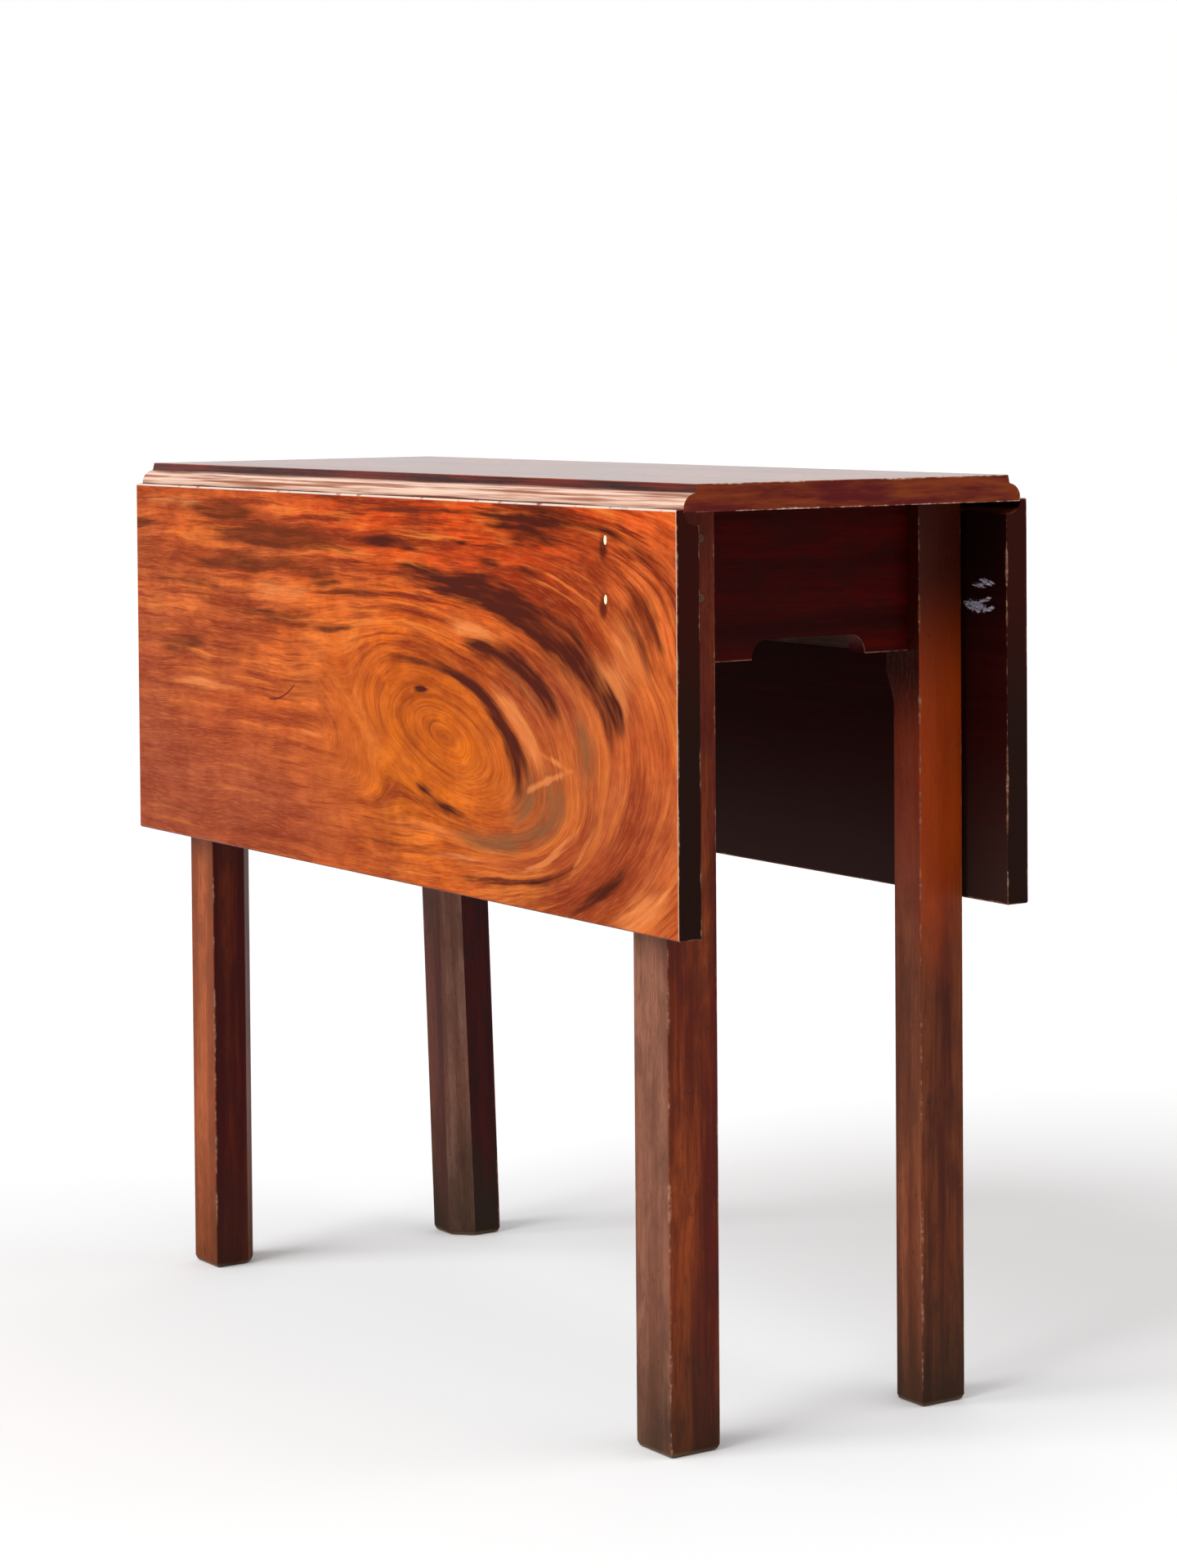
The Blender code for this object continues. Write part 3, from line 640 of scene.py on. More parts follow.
def add_edge_wear(g, colour, place, low, high, width=EDGE_WEAR, cover=0.8, dull=WORN,
                  pale=WORN_PALE):
    """Rub the polish off along the edges of a box, unevenly. Gives the colour and the rub."""
    x, y, z = place
    distance = arris_distance(g, x, y, z, low, high)
    patch = g.noise(g.vector(x * 26.0, y * 26.0, z * 26.0), detail=4.0, roughness=0.65)
    nick = g.noise(g.vector(x * 240.0, y * 240.0, z * 240.0), detail=2.0)
    reach = width * (0.15 + 1.3 * g.step(patch, 0.38, 0.68)) * (0.7 + 0.6 * nick)
    rub = g.step(distance / reach, 1.2, 0.4)
    colour = g.mix(rub * cover, colour, g.mix(g.step(nick, 0.4, 0.7), dull, pale))
    return colour, rub


def add_rims(g, colour, outer, high):
    """Pale, chipped rims along the ends and the top of a leaf's outer face: wear together with a
    painted highlight on the arris, near white along the top.
    """
    chips = g.noise(g.vector(g.x * 60.0, 0.0, g.z * 60.0), detail=4.0)
    end_rim = g.step(high[0] - g.absolute(g.x), RIM_WIDTH, RIM_WIDTH * 0.4)
    end_rim = end_rim * g.step(chips, 0.30, 0.48)
    top_rim = g.step(g.z, high[2] - RIM_WIDTH * 1.5, high[2] - RIM_WIDTH * 0.6)
    top_rim = top_rim * g.step(chips, 0.30, 0.46)
    colour = g.mix(end_rim * outer * 0.8, colour, RIM_PALE_WEAR_HIGHLIGHT)
    return g.mix(top_rim * outer * 0.9, colour, RIM_WHITE_WEAR_HIGHLIGHT)


def add_front_marks(g, colour):
    """A hair crack, and dark stains round the two filled screw holes."""
    along = g.x - CRACK_PLACE[0]
    curve = g.z - CRACK_PLACE[1] - along * CRACK_SLOPE - along * along * CRACK_ARCH
    crack = g.step(g.absolute(curve), *CRACK_WIDTH) * g.step(g.absolute(along), *CRACK_REACH)
    colour = g.mix(crack * 0.9, colour, CRACK_RED)
    place = g.vector(g.x, g.z, 0.0)
    for plug_z in PLUG_HEIGHTS:
        centre = (PLUG_X + STAIN_SHIFT[0], plug_z + STAIN_SHIFT[1], 0)
        stain = g.spot(place, centre, (*STAIN_REACH, 1))
        colour = g.mix(g.step(stain, 0.25, 0.9) * 0.85, colour, STREAK_DARK)
    return colour


def add_pale_marks(g, colour):
    """Pale, ragged marks on the back leaf's inner face."""
    ragged = g.noise(g.vector(g.x * 230.0, 0.0, g.z * 700.0), detail=4.0, roughness=0.75)
    paint = g.mix(g.step(ragged, 0.50, 0.64), PALE_MARK_GREY, PALE_MARK_LIGHT)
    for x, z, half_length, half_height, slope in PALE_MARKS:
        level = g.z - (g.x - x) * slope
        pale_mark = g.spot(g.vector(g.x, level, 0.0), (x, z, 0), (half_length, half_height, 1))
        torn = pale_mark * (ragged * 2.6 - 0.75)
        colour = g.mix(g.step(torn, 0.28, 0.38) * 0.9, colour, paint)
    return colour


# ---- the leaves ----
FIGURES = {"front": FRONT_FIGURE, "back": BACK_FIGURE}
FACING = (0.5, 0.8)  # a normal's share at which a face counts as turned that way
# Tones of the inner face and the ends. Each pair is the Z where one starts and where it is full.
# The inner faces' near-black ground is painted shade, and the black at their top is painted shade
# under the board; the board's underside takes the same painted shade.
INNER_SHADE_DARK = tone(28, 3, 3)
INNER_RED = tone(52, 10, 7)
INNER_GREY_LOW = tone(62, 46, 42)
INNER_GREY_LOW_Z = (0.56, 0.40)
INNER_TOP_SHADE = tone(16, 2, 2)
INNER_TOP_SHADE_Z = (0.56, 0.66)
END_GRAIN = tone(38, 10, 6)
END_OLIVE = tone(30, 22, 16)
END_RED = tone(58, 12, 7)
END_RED_Z = (0.52, 0.64)
LOWER_EDGE = tone(70, 26, 16)
LEAF_WORN = tone(120, 78, 58)
LEAF_WORN_PALE = tone(182, 142, 116)


def inner_face(g, side):
    """A leaf's inner face: painted near black as shade, greyer low down, blacker at the top as
    painted shade under the board, with saw and plane marks along the board.
    """
    streak = g.noise(g.vector(g.x * 5.0, g.y * 60.0, g.z * 160.0), detail=4.0)
    colour = g.mix(streak, INNER_SHADE_DARK, INNER_RED)
    greyer_low = g.step(g.z + streak * 0.05, *INNER_GREY_LOW_Z)
    colour = g.mix(greyer_low * 0.55, colour, INNER_GREY_LOW)
    colour = g.mix(g.step(g.z, *INNER_TOP_SHADE_Z) * 0.8, colour, INNER_TOP_SHADE)
    if side == "back":
        colour = add_pale_marks(g, colour)
    return colour


def leaf_end(g):
    """The end grain of a leaf, redder towards the top."""
    pocked = g.noise(g.vector(g.x * 900.0, g.y * 900.0, g.z * 320.0), detail=2.0)
    colour = g.mix(pocked, END_GRAIN, END_OLIVE)
    return g.mix(g.step(g.z, *END_RED_Z) * 0.6, colour, END_RED)


def leaf_material(side):
    """A leaf: figured and polished outside, dark and dry inside, worn along its edges."""
    low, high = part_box(side + "_leaf")
    out = -1.0 if side == "front" else 1.0
    g = Graph(side + "_leaf_wood")
    colour, height, cloud = show_face(g, FIGURES[side])
    inner_mask = g.step(g.facing_y * -out, *FACING)
    end_mask = g.step(g.absolute(g.facing_x), *FACING)
    edge_mask = g.step(g.absolute(g.facing_z), *FACING)
    colour = g.mix(inner_mask, colour, inner_face(g, side))
    colour = g.mix(end_mask, colour, leaf_end(g))
    colour = g.mix(edge_mask * 0.7, colour, LOWER_EDGE)
    if side == "front":
        colour = add_front_marks(g, colour)
    colour, rub = add_edge_wear(g, colour, (g.x, g.y, g.z), low, high, cover=0.70,
                                dull=LEAF_WORN, pale=LEAF_WORN_PALE)
    colour = add_rims(g, colour, g.step(g.facing_y * out, *FACING), high)
    dull = g.largest(inner_mask, end_mask * 0.8)
    roughness = 0.16 + cloud * 0.08 + dull * 0.42 + rub * 0.2
    return g.finish(colour, roughness, height, bump_depth=0.00012, specular=0.03)


# ---- straight-grained mahogany ----
GRIME = tone(34, 20, 14)
WOOD_PORES = 0.58
BOARD_LIGHT = tone(196, 92, 44)
BOARD_DARK = tone(112, 42, 20)
BOARD_END_LIGHT = shaded(108, 50, 12)
BOARD_END_DARK = shaded(76, 26, 1)
BOARD_UNDER = tone(70, 32, 20)
FILLET_DARK = lit(66, 20, 14)
FILLET_LIGHT = lit(120, 52, 40)
# The ovolo's pink and its near-white streaks are a painted reflection of the bright light
# overhead.
OVOLO_PINK_REFLECTION = lit(164, 104, 80)
OVOLO_WHITE_REFLECTION = lit(250, 212, 190)
OVOLO_FOOT = lit(76, 28, 22)
OVOLO_REACH = 0.0122  # how far the ovolo stands out past the fillet
FILLET_FOOT = (0.7128, 0.7140)  # Z where the fillet's tone starts and is full
OVOLO_HEAD = (0.7142, 0.7130)
OVOLO_SHUT = (0.7035, 0.7015)  # and the dark foot of the ovolo, next to the leaf


def straight_wood(g, along, across, over, light, dark, seed, stripes):
    """Plain grain along one direction, blotched with age. Gives colour, height and cloud."""
    wander = g.noise(g.vector(along * 3.5 + seed, across * 8.0, over * 8.0), detail=2.0) - 0.5
    a = across + wander * 0.010
    o = over + wander * 0.006
    band = g.noise(g.vector(along * 2.2 + seed, a * stripes, o * stripes), detail=4.0)
    fine = g.noise(g.vector(along * 26.0 + seed, a * stripes * 8, o * stripes * 8), detail=2.0)
    cloud = g.noise(g.vector(along * 7.0 + seed, across * 20.0, over * 20.0), detail=3.0)
    blotch_place = g.vector(along * 24.0, across * 55.0 + seed, over * 55.0)
    blotch = g.noise(blotch_place, detail=4.0, roughness=0.62)
    dent = g.noise(g.vector(along * 150.0, across * 260.0, over * 260.0 + seed), detail=2.0)
    dented = g.step(dent, 0.68, 0.76)
    vessel = pores(g, along, across, over, WOOD_PORES)
    colour = g.mix(g.step(band, 0.36, 0.64), dark, light)
    for share, paint in (
        (g.step(fine, 0.54, 0.36) * 0.42, dark),
        (g.step(fine, 0.58, 0.70) * 0.22, light),
        (vessel * 0.35, GRIME),
        (g.step(cloud, 0.60, 0.38) * 0.35, dark),
        (g.step(blotch, 0.54, 0.36) * 0.42, dark),
        (g.step(blotch, 0.58, 0.34) * 0.18, GRIME),
        (dented * 0.5, GRIME),
    ):
        colour = g.mix(share, colour, paint)
    height = fine * 0.25 - vessel * 0.5 + cloud * 0.4 - dented * 0.8
    return colour, height, cloud


def add_side_profile(g, colour, edge_y, end_mask, under):
    """The board's long edges: a dark fillet over an ovolo painted pink with near-white streaks, a
    painted reflection of the bright tent overhead.
    """
    ledge = edge_y - OVOLO_REACH
    streaky = g.noise(g.vector(g.x * 7.0, g.y * 260.0, g.z * 420.0), detail=4.0)
    fillet = g.step(g.absolute(g.facing_y), 0.85, 0.97) * g.step(g.z, *FILLET_FOOT)
    fillet_tone = g.mix(g.step(streaky, 0.4, 0.65), FILLET_DARK, FILLET_LIGHT)
    colour = g.mix(fillet, colour, fillet_tone)
    ovolo = g.step(g.z, *OVOLO_HEAD) * g.step(g.absolute(g.y), ledge, ledge + 0.001)
    ovolo = ovolo * (1.0 - end_mask)
    ovolo_reflection = g.mix(g.step(streaky, 0.38, 0.62), OVOLO_PINK_REFLECTION, OVOLO_WHITE_REFLECTION)
    colour = g.mix(ovolo * (1.0 - under), colour, ovolo_reflection)
    shut = g.step(g.z, *OVOLO_SHUT) * ovolo
    return g.mix(shut * g.step(streaky, 0.62, 0.45) * 0.8, colour, OVOLO_FOOT)


def top_material():
    """The fixed board: polished, with a dark fillet and an ovolo painted with a reflection."""
    low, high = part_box("top_board")
    g = Graph("top_board_wood")
    colour, height, cloud = straight_wood(g, g.x, g.y, g.z, BOARD_LIGHT, BOARD_DARK, 2.0, 46.0)
    end_mask = g.step(g.absolute(g.facing_x), *FACING)
    mottle = g.noise(g.vector(g.x, g.y * 16.0, g.z * 110.0), detail=4.0, roughness=0.62)
    end = g.mix(g.step(mottle, 0.34, 0.66), BOARD_END_DARK, BOARD_END_LIGHT)
    colour = g.mix(end_mask, colour, end)
    under = g.step(g.facing_z, -0.5, -0.8)
    # Painted shade: the board's underside is painted near black.
    colour = g.mix(under, colour, g.mix(mottle, INNER_SHADE_DARK, BOARD_UNDER))
    colour = add_side_profile(g, colour, high[1], end_mask, under)
    colour, rub = add_edge_wear(g, colour, (g.x, g.y, g.z), low, high)
    roughness = 0.07 + cloud * 0.05 + end_mask * 0.3 + under * 0.4 + rub * 0.2
    return g.finish(colour, roughness, height, bump_depth=0.00003, specular=0.16)


# ---- legs, aprons, rails, pegs and iron ----
FOOT_TOP = 0.0005  # leg points below this are its foot, above the next its head
HEAD_FOOT = 0.69
# Each leg's tones: light and dark grain of its long sides, its chamfers and its end sides.
# Beyond the grain they hold painted light: a painted sheen on the long sides and painted shade on
# the end sides. On the back fixed leg there is also painted shadow of the front leaf on its long
# sides and a painted pinkish reflection on its chamfers.
LEG_TONES_SHEEN_SHADE = {
    "front_fixed_leg": (lit(158, 106, 86), lit(120, 76, 60), lit(150, 96, 74), lit(96, 56, 40),
                        shaded(130, 64, 36), shaded(76, 34, 18)),
    "front_gate_leg": (lit(184, 98, 58), lit(144, 74, 46), lit(150, 84, 56), lit(110, 56, 36),
                       shaded(94, 44, 28), shaded(62, 24, 14)),
    "back_gate_leg": (lit(164, 94, 66), lit(116, 62, 42), lit(140, 84, 62), lit(90, 50, 34),
                      shaded(98, 54, 36), shaded(64, 34, 22)),
    "back_fixed_leg": (lit(120, 70, 54), lit(92, 48, 36), lit(166, 124, 110), lit(130, 88, 74),
                       shaded(66, 22, 12), shaded(44, 10, 6)),
}
# How much dirt each leg's lower part has taken on.
LEG_SOIL = {"front_fixed_leg": 0.74, "front_gate_leg": 0.42, "back_gate_leg": 0.80,
            "back_fixed_leg": 0.80}
# On this leg the dark head is a painted shadow of the leaf and underframe.
GLOWING_LEGS = ("back_gate_leg",)  # redder halfway up, and dark above that
SOIL = tone(40, 32, 21)
SOIL_Z = (0.23, 0.06)
HEAD_RED_LONG = tone(120, 26, 6)
HEAD_RED_END = tone(82, 6, 1)
HEAD_RED_Z = (0.46, 0.68)
GLOW_LONG = lit(156, 62, 22)
GLOW_END = shaded(156, 62, 16)
GLOW_Z = (0.36, 0.50)
# Painted shadow of the leaf and underframe over the leg's head, reaching lower on its long sides.
HEAD_SHADOW = tone(30, 2, 1)
HEAD_SHADOW_Z = (0.55, 0.67)
HEAD_SHADOW_LONG_Z = (0.53, 0.60)
LEG_WEAR = 0.0015
LEG_WORN = tone(112, 62, 42)
LEG_WORN_PALE = tone(176, 128, 102)
BRUISE = tone(104, 84, 60)
BRUISE_Z = (0.0065, 0.0030)
APRON_LIGHT = tone(76, 3, 1)
APRON_DARK = tone(40, 1, 1)
# The pale line along the apron's lower arris is rubbing together with a painted highlight.
APRON_RUB_AND_HIGHLIGHT = tone(128, 84, 66)
APRON_ARRIS = (0.0022, 0.0006)  # reach of the rubbed line from the outer face, and up it
APRON_LIP = (0.0014, 0.0004)
RAIL_LIGHT = tone(92, 52, 32)
RAIL_DARK = tone(46, 24, 15)
RAIL_DUST = tone(120, 100, 84)
PEG_DARK = tone(60, 26, 14)
PEG_LIGHT = tone(120, 64, 38)
IRON_GREY = tone(70, 66, 62)
IRON_RUST = tone(92, 48, 26)
IRON_PIT = tone(28, 20, 16)


def leg_lean(node):
    """How far a leg's foot stands from under its top, and its top's X and Y ranges."""
    points = [vertex.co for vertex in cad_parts[node].data.vertices]
    foot = [p for p in points if p.z < FOOT_TOP]
    head = [p for p in points if p.z > HEAD_FOOT]
    lean, ranges = [], []
    for axis in (0, 1):
        foot_low, foot_high = min(p[axis] for p in foot), max(p[axis] for p in foot)
        head_low, head_high = min(p[axis] for p in head), max(p[axis] for p in head)
        lean.append((foot_low + foot_high) / 2 - (head_low + head_high) / 2)
        ranges.append((head_low, head_high))
    return lean, ranges


def leg_sheen_and_shade_tones(g, node, turned, long_side):
    """A leg's light and dark grain: its long sides, its chamfer and its end sides differ, by
    painted sheen and painted shade as well as by grain.
    """
    long_light, long_dark, cut_light, cut_dark, end_light, end_dark = LEG_TONES_SHEEN_SHADE[node]
    chamfer = g.step(turned, 0.35, 0.50)
    light = g.mix(long_side, g.mix(chamfer, end_light, cut_light), long_light)
    dark = g.mix(long_side, g.mix(chamfer, end_dark, cut_dark), long_dark)
    return light, dark


def add_glow_and_head_shadow(g, colour, patchy, long_side):
    """A redder stretch halfway up the leg, with painted shadow of the leaf and underframe over its
    head.
    """
    glow = g.step(g.z + patchy * 0.10, *GLOW_Z)
    glow_tone = g.mix(long_side, GLOW_END, GLOW_LONG)
    colour = g.mix(glow * (patchy * 0.7 + 0.14), colour, glow_tone)
    shadow_share = g.step(g.z + patchy * 0.04, *HEAD_SHADOW_Z)
    shadow_share = g.largest(shadow_share, long_side * g.step(g.z + patchy * 0.06, *HEAD_SHADOW_LONG_Z))
    return g.mix(shadow_share * 0.88, colour, HEAD_SHADOW)


def leg_material(node, seed):
    """A square leg: waxed, straight-grained, dirty at the foot and redder near the top."""
    lean, ranges = leg_lean(node)
    rail_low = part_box("front_end_apron")[0][2]
    g = Graph(node + "_wood")
    away = g.math("MAXIMUM", 1.0 - g.z / rail_low, 0.0)
    x = g.x - away * lean[0]
    y = g.y - away * lean[1]
    turned = g.absolute(g.facing_y)
    long_side = g.step(turned, 0.84, 0.94)
    # Per-face tones that carry painted sheen and painted shade.
    light, dark = leg_sheen_and_shade_tones(g, node, turned, long_side)
    colour, height, cloud = straight_wood(g, g.z, x, y, light, dark, seed, 60.0)
    patchy = g.noise(g.vector(x * 30.0, y * 30.0, g.z * 9.0 + seed), detail=4.0)
    soil = g.step(g.z + patchy * 0.16, *SOIL_Z)
    colour = g.mix(soil * LEG_SOIL[node], colour, SOIL)
    redder = g.step(g.z + patchy * 0.2, *HEAD_RED_Z)
    colour = g.mix(redder * 0.6, colour, g.mix(long_side, HEAD_RED_END, HEAD_RED_LONG))
    if node in GLOWING_LEGS:
        colour = add_glow_and_head_shadow(g, colour, patchy, long_side)
    low = (ranges[0][0], ranges[1][0], 0.0)
    high = (ranges[0][1], ranges[1][1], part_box(node)[1][2])
    colour, _ = add_edge_wear(g, colour, (x, y, g.z), low, high, width=LEG_WEAR, cover=0.62,
                              dull=LEG_WORN, pale=LEG_WORN_PALE)
    bruise = g.step(g.z + patchy * 0.004, *BRUISE_Z)
    colour = g.mix(bruise * 0.7, colour, BRUISE)
    roughness = 0.34 + cloud * 0.16 + soil * 0.25
    return g.finish(colour, roughness, height, bump_depth=0.0003, specular=0.12)


def apron_material(node, seed):
    """An end apron: nearly black with age, pale along its lower edge from rubbing and from a
    painted highlight on the arris.
    """
    low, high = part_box(node)
    out_x = high[0] if high[0] > 0 else low[0]
    g = Graph(node + "_wood")
    colour, height, cloud = straight_wood(g, g.y, g.z, g.x, APRON_LIGHT, APRON_DARK, seed, 40.0)
    facing_out = g.step(g.absolute(g.facing_x), *FACING)
    arris = g.step(g.absolute(g.x - out_x), *APRON_ARRIS) * (1.0 - facing_out)
    lip = g.step(g.z - low[2], *APRON_LIP) * facing_out
    chipped = g.noise(g.vector(g.y * 120.0, g.z * 120.0, seed), detail=3.0)
    rub_and_highlight = g.largest(arris, lip) * g.step(chipped, 0.32, 0.55)
    colour = g.mix(rub_and_highlight * 0.85, colour, APRON_RUB_AND_HIGHLIGHT)
    roughness = 0.42 + cloud * 0.2
    return g.finish(colour, roughness, height, bump_depth=0.0002, specular=0.04)


def rail_material(node, seed):
    """Rough secondary wood, gone dark."""
    g = Graph(node + "_wood")
    colour, height, cloud = straight_wood(g, g.x, g.z, g.y, RAIL_LIGHT, RAIL_DARK, seed, 55.0)
    dust = g.noise(g.vector(g.x * 40.0, g.y * 40.0, g.z * 40.0), detail=4.0)
    colour = g.mix(g.step(dust, 0.5, 0.8) * 0.25, colour, RAIL_DUST)
    roughness = 0.62 + cloud * 0.25
    return g.finish(colour, roughness, height, bump_depth=0.0004, specular=0.25)


def peg_material(node):
    """End grain of a driven peg."""
    low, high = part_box(node)
    g = Graph(node + "_wood")
    middle = [(a + b) / 2 for a, b in zip(low, high)]
    gap = g.vector(g.x - middle[0], g.y - middle[1], g.z - middle[2])
    ring = g.noise(gap, scale=900.0, detail=3.0, distortion=1.5)
    colour = g.mix(ring, PEG_DARK, PEG_LIGHT)
    return g.finish(colour, 0.5 + ring * 0.2, ring, bump_depth=0.0002, specular=0.3)


def iron_material(name):
    """Hand-forged iron, brown with old rust."""
    g = Graph(name)
    place = g.vector(g.x, g.y, g.z)
    scale = g.noise(place, scale=220.0, detail=5.0, roughness=0.65)
    pit = g.noise(place, scale=900.0, detail=2.0)
    rust = g.step(scale, 0.46, 0.62)
    colour = g.mix(rust, IRON_GREY, IRON_RUST)
    colour = g.mix(g.step(pit, 0.45, 0.3) * 0.6, colour, IRON_PIT)
    roughness = 0.45 + rust * 0.35
    return g.finish(colour, roughness, scale + pit * 0.5, bump_depth=0.0004, metallic=0.55)


# ---- pieces that only the visual model has ----
SMOOTH_ANGLE = 40  # edges sharper than this stay sharp, degrees
SCREW_RADIUS = 0.0036
SCREW_SLOT = 0.0009  # width of the slot
SCREW_SIDES = 24  # of the two half rims together
SCREW_SINK = 0.0004  # how far the head goes into the face
SCREW_RIM = 0.00022  # heights of its rim and its crown over the face
SCREW_CROWN = 0.00040
SCREW_CROWN_SHARE = 0.86  # crown's radius over the head's
SCREW_SLOT_BEVEL = 0.0001
# Leaf plates: a screw's share of the plate's height, and its X from the middle.
LEAF_PLATE_SCREWS = ((0.12, 0.0), (0.45, 0.008), (0.72, -0.008))
TABLE_PLATE_SCREWS = (-0.011, 0.011)
TABLE_SCREW_INSET = 0.010  # from the table plate's inner edge
LEAF_SCREW_TURN = (0.7, 1.9)  # turn of the slot for each hinge and each screw, radians
TABLE_SCREW_TURN = (1.3, 2.2)
PLUG_SIZE = (0.0019, 0.0006, 0.0036)
# Near-white filler tones, partly a painted glint.
FILLER_GLINT_DARK = tone(236, 214, 170)
FILLER_GLINT_LIGHT = tone(250, 240, 214)


def make_object(name, bm, material, body):
    """A new piece that rides on a body."""
    bmesh.ops.recalc_face_normals(bm, faces=bm.faces)
    mesh = bpy.data.meshes.new(name)
    bm.to_mesh(mesh)
    bm.free()
    mesh.materials.append(material)
    mesh.shade_smooth()
    mesh.set_sharp_from_angle(angle=math.radians(SMOOTH_ANGLE))
    piece = bpy.data.objects.new(name, mesh)
    bpy.context.collection.objects.link(piece)
    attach(piece, body)


def half_disc(side, other):
    """Directions round half of a screw head, leaving room for half the slot."""
    start = math.asin(SCREW_SLOT / 2 / SCREW_RADIUS)
    count = SCREW_SIDES // 2
    angles = [start + (math.pi - 2 * start) * i / count for i in range(count + 1)]
    return [side * math.cos(angle) + other * math.sin(angle) for angle in angles]


def add_screw_head(bm, centre, normal, slot_turn):
    """A slotted head, nearly flush with the face at centre: two halves, each a closed solid."""
    centre = Vector(centre)
    up = Vector(normal)
    side = Matrix.Rotation(slot_turn, 3, up) @ up.orthogonal().normalized()
    for other in (-up.cross(side), up.cross(side)):
        outline = half_disc(side, other)
        rim = [centre + o * SCREW_RADIUS for o in outline]
        middle = centre + other * SCREW_SLOT_BEVEL + up * SCREW_CROWN
        crown_radius = SCREW_RADIUS * SCREW_CROWN_SHARE
        top = [bm.verts.new(point + up * SCREW_RIM) for point in rim]
        crown = [bm.verts.new(middle + o * crown_radius) for o in outline]
        base = [bm.verts.new(point - up * SCREW_SINK) for point in rim]
        for i in range(len(outline)):
            j = (i + 1) % len(outline)
            bm.faces.new((base[i], base[j], top[j], top[i]))
            bm.faces.new((top[i], top[j], crown[j], crown[i]))
        bm.faces.new(crown)
        bm.faces.new(list(reversed(base)))


def leaf_inner_y(side):
    """Y of a leaf's inner face, which its hinges' plates lie flush with."""
    low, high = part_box(side + "_leaf")
    return high[1] if side == "front" else low[1]


def hinge_screws(side, material):
    """Screw heads on both plates of each hinge: three in the leaf plate, two in the other."""
    inward = 1 if side == "front" else -1
    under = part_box("top_board")[0][2]
    leaf_heads = bmesh.new()
    table_heads = bmesh.new()
    for number in (1, 2, 3):
        low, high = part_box(f"{side}_hinge_{number}_leaf_plate")
        middle = (low[0] + high[0]) / 2
        for k, (share, offset) in enumerate(LEAF_PLATE_SCREWS):
            place = (middle + offset, leaf_inner_y(side), low[2] + (high[2] - low[2]) * share)
            turn = LEAF_SCREW_TURN[0] * number + LEAF_SCREW_TURN[1] * k
            add_screw_head(leaf_heads, place, (0, inward, 0), turn)
        low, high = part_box(f"{side}_hinge_{number}_table_plate")
        inner_edge = high[1] if side == "front" else low[1]
        for k, offset in enumerate(TABLE_PLATE_SCREWS):
            place = (middle + offset, inner_edge - inward * TABLE_SCREW_INSET, under)
            turn = TABLE_SCREW_TURN[0] * number + TABLE_SCREW_TURN[1] * k
            add_screw_head(table_heads, place, (0, 0, -1), turn)
    make_object(side + "_leaf_hinge_screws", leaf_heads, material, side + "_leaf")
    make_object(side + "_table_hinge_screws", table_heads, material, "frame")


def screw_plugs():
    """Two drops of pale filler that close old screw holes in the front leaf; their near-white is
    partly a painted glint.
    """
    g = Graph("filler")
    grain = g.noise(g.vector(g.x, g.y, g.z), scale=1400.0, detail=2.0)
    colour = g.mix(grain, FILLER_GLINT_DARK, FILLER_GLINT_LIGHT)
    material = g.finish(colour, 0.25, grain, bump_depth=0.0001)
    face_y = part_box("front_leaf")[0][1]
    size = Matrix.Diagonal((*PLUG_SIZE, 1.0))
    bm = bmesh.new()
    for z in PLUG_HEIGHTS:
        made = bmesh.ops.create_uvsphere(bm, u_segments=20, v_segments=12, radius=1.0)
        place = Matrix.Translation((PLUG_X, face_y, z)) @ size
        bmesh.ops.transform(bm, matrix=place, verts=made["verts"])
    make_object("front_leaf_plugs", bm, material, "front_leaf")


# ---- dress the CAD nodes ----
SIDE_SEED = 3.7  # the back side's woods differ from the front's by this
LEG_SEEDS = {"fixed_leg": 1.0, "gate_leg": 5.0}
APRON_SEED = 2.0
RAIL_SEEDS = {"inner_rail": 0.0, "fixed_rail": 1.7, "swing_rail": 3.4}
GLUE_BLOCK_SEED = 9.0


def dress(node, material):
    """Give a CAD node its material in every slot."""
    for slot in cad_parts[node].material_slots:
        slot.material = material


def dress_side(side, seed, iron):
    """The woods and irons of one side of the table, and its screws."""
    dress(side + "_leaf", leaf_material(side))
    for leg, own in LEG_SEEDS.items():
        dress(f"{side}_{leg}", leg_material(f"{side}_{leg}", own + seed))
    dress(side + "_end_apron", apron_material(side + "_end_apron", APRON_SEED + seed))
    for rail, own in RAIL_SEEDS.items():
        dress(f"{side}_{rail}", rail_material(f"{side}_{rail}", own + seed))
    for number in (1, 2, 3):
        block = f"{side}_glue_block_{number}"
        dress(block, rail_material(block, GLUE_BLOCK_SEED + number + seed))
        for part in ("table_plate", "leaf_plate", "pin"):
            dress(f"{side}_hinge_{number}_{part}", iron)
    dress(side + "_gate_pin", iron)
    for joint in ("fixed_rail", "end_apron", "swing_rail"):
        for number in (1, 2):
            peg = f"{side}_{joint}_peg_{number}"
            dress(peg, peg_material(peg))
    hinge_screws(side, iron)


def dress_all():
    """Every carried-over node gets its own wood or iron."""
    dress("top_board", top_material())
    iron = iron_material("hinge_iron")
    for index, side in enumerate(SIDES):
        dress_side(side, SIDE_SEED * index, iron)
    screw_plugs()


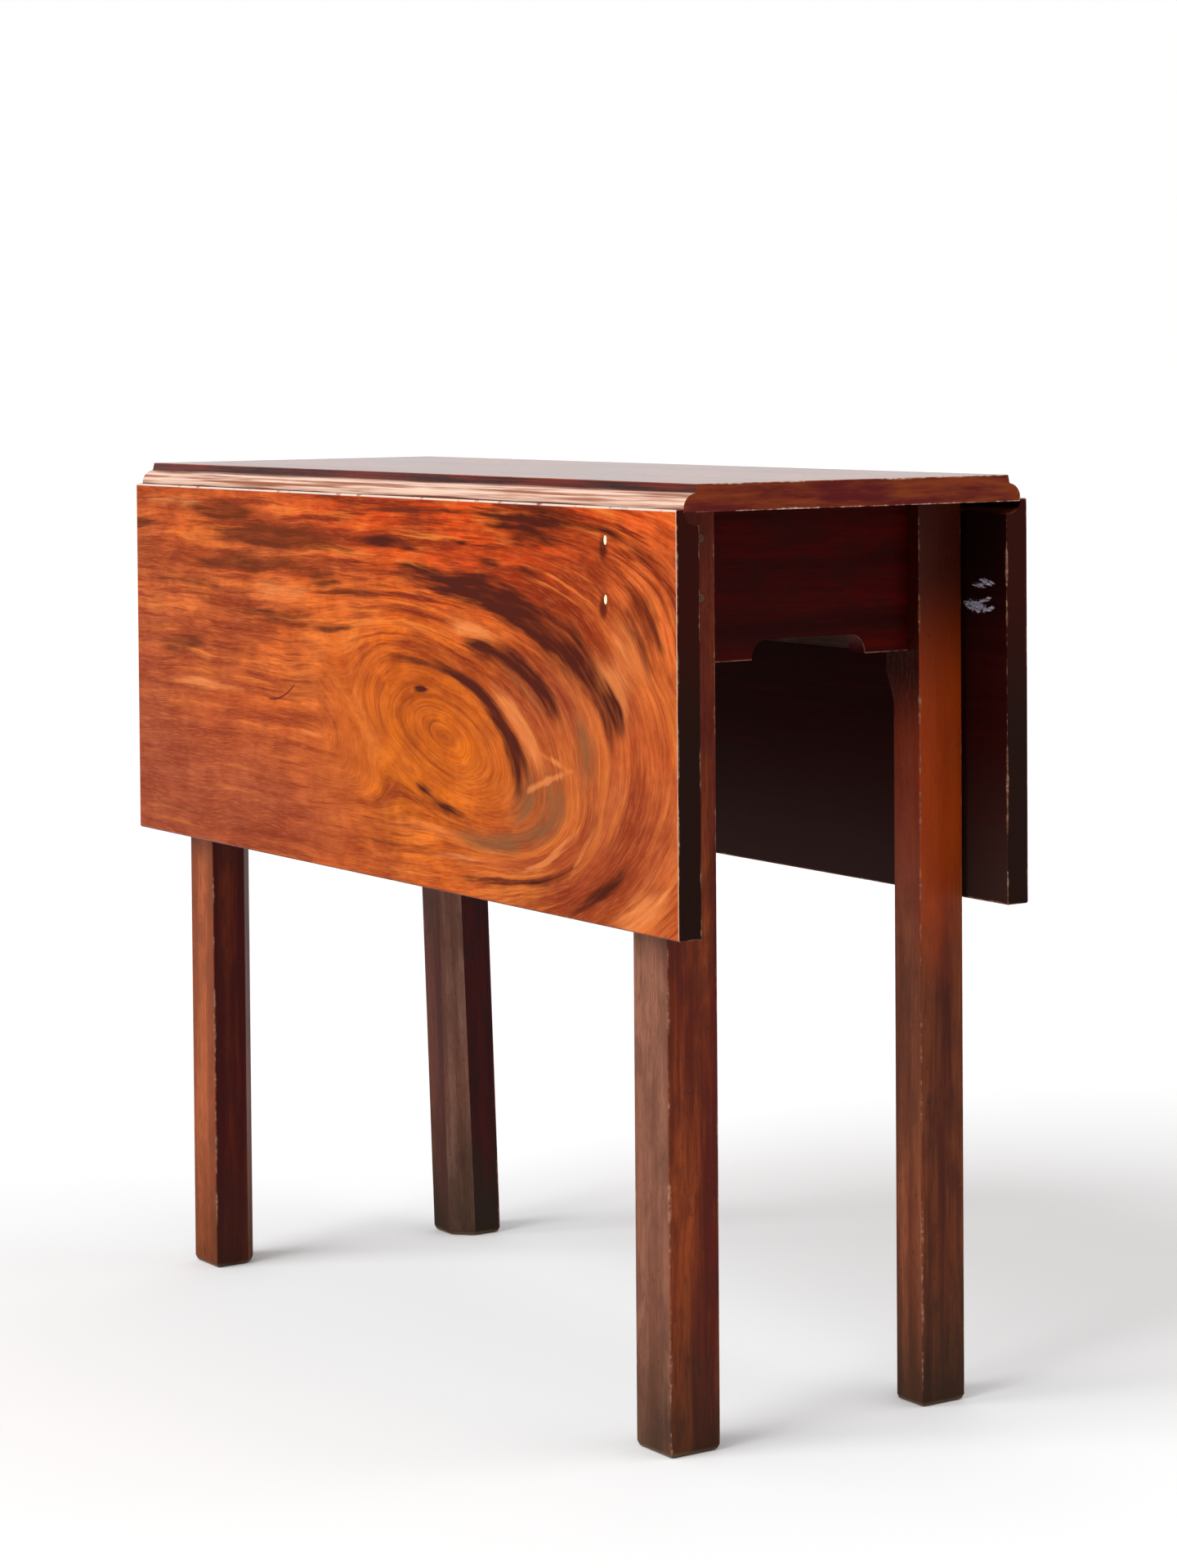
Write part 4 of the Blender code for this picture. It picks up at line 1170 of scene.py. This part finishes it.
# ---- studio ----
FLOOR_SIZE = 60.0
FLOOR_TONES = ((0.84, 0.84, 0.84, 1.0), (0.87, 0.87, 0.87, 1.0))
TENT_SIDE = 0.22  # strength of the white tent at the horizon and overhead
TENT_TOP = 0.85
TENT_HEIGHT = (0.05, 0.95)
TENT_PANEL = 0.47  # extra strength of the panel that the polished top mirrors
PANEL_PLACE = (0.83, 0.56)  # the panel's way, along -X and +Y
PANEL_REACH = (0.72, 0.95)
# Direction, strength and spread in degrees.
KEY_SUN = ((-0.06, -0.90, 0.66), 2.5, 44)
FILL_SUN = ((0.70, 0.80, 0.90), 0.5, 60)
CAMERA_PLACE = (2.6169, -1.7061, 0.8078)
CAMERA_YAW = 33.831  # turn of the view from -X towards +Y, degrees
CAMERA_PITCH = -1.947
CAMERA_ROLL = -0.440
CAMERA_LENS = 85.98
CAMERA_SENSOR = 36.0
CAMERA_SHIFT = (-0.0022, -0.1876)


def make_floor():
    """A plain pale floor."""
    bm = bmesh.new()
    bmesh.ops.create_grid(bm, x_segments=1, y_segments=1, size=FLOOR_SIZE)
    mesh = bpy.data.meshes.new("floor")
    bm.to_mesh(mesh)
    bm.free()
    g = Graph("floor_paint")
    mottle = g.noise(g.vector(g.x, g.y, g.z), scale=0.8, detail=2.0)
    mesh.materials.append(g.finish(g.mix(mottle, *FLOOR_TONES), 0.9, specular=0.1))
    floor = bpy.data.objects.new("floor", mesh)
    bpy.context.collection.objects.link(floor)


def make_sun(name, direction, strength, spread):
    """A wide, soft light from one direction."""
    light = bpy.data.lights.new(name, "SUN")
    light.energy = strength
    light.angle = math.radians(spread)
    lamp = bpy.data.objects.new(name, light)
    lamp.rotation_mode = "QUATERNION"
    lamp.rotation_quaternion = Vector(direction).to_track_quat("Z", "Y")
    bpy.context.collection.objects.link(lamp)


def make_world():
    """White behind the object; as a light, a tent that is brighter overhead and beyond the top."""
    world = bpy.data.worlds.new("studio")
    world.use_nodes = True
    g = NodeTree(world.node_tree)
    x, y, z = g.split(Term(g, g.node("ShaderNodeTexCoord").outputs["Generated"]))
    beyond = y * PANEL_PLACE[1] - x * PANEL_PLACE[0]
    overhead = g.step(z, *TENT_HEIGHT) * (TENT_TOP - TENT_SIDE) + TENT_SIDE
    tent = overhead + g.step(beyond, *PANEL_REACH) * TENT_PANEL
    seen = Term(g, g.node("ShaderNodeLightPath").outputs["Is Camera Ray"])
    background = g.nodes["Background"]
    background.inputs["Color"].default_value = (1.0, 1.0, 1.0, 1.0)
    g.feed(background.inputs["Strength"], g.largest(tent, seen))
    bpy.context.scene.world = world


def make_light():
    """The tent, a soft key from the front left and a weak fill from the other side."""
    make_world()
    make_sun("key", *KEY_SUN)
    make_sun("fill", *FILL_SUN)


def make_camera():
    """The camera, low and to the right of the front leaf, with a vertical shift."""
    data = bpy.data.cameras.new("camera")
    data.sensor_width = CAMERA_SENSOR
    data.lens = CAMERA_LENS
    data.shift_x, data.shift_y = CAMERA_SHIFT
    yaw, pitch, roll = (math.radians(a) for a in (CAMERA_YAW, CAMERA_PITCH, CAMERA_ROLL))
    flat = math.cos(pitch)
    ahead = Vector((-math.cos(yaw) * flat, math.sin(yaw) * flat, math.sin(pitch)))
    level = Vector((math.sin(yaw), math.cos(yaw), 0.0))
    over = level.cross(ahead)
    right = level * math.cos(roll) + over * math.sin(roll)
    up = over * math.cos(roll) - level * math.sin(roll)
    camera = bpy.data.objects.new("camera", data)
    turn = Matrix((right, up, -ahead)).transposed().to_4x4()
    camera.matrix_world = Matrix.Translation(CAMERA_PLACE) @ turn
    bpy.context.collection.objects.link(camera)
    bpy.context.scene.camera = camera


bpy.context.scene.view_settings.view_transform = "Standard"
make_camera()
make_light()
make_floor()
dress_all()

bpy.context.view_layer.update()
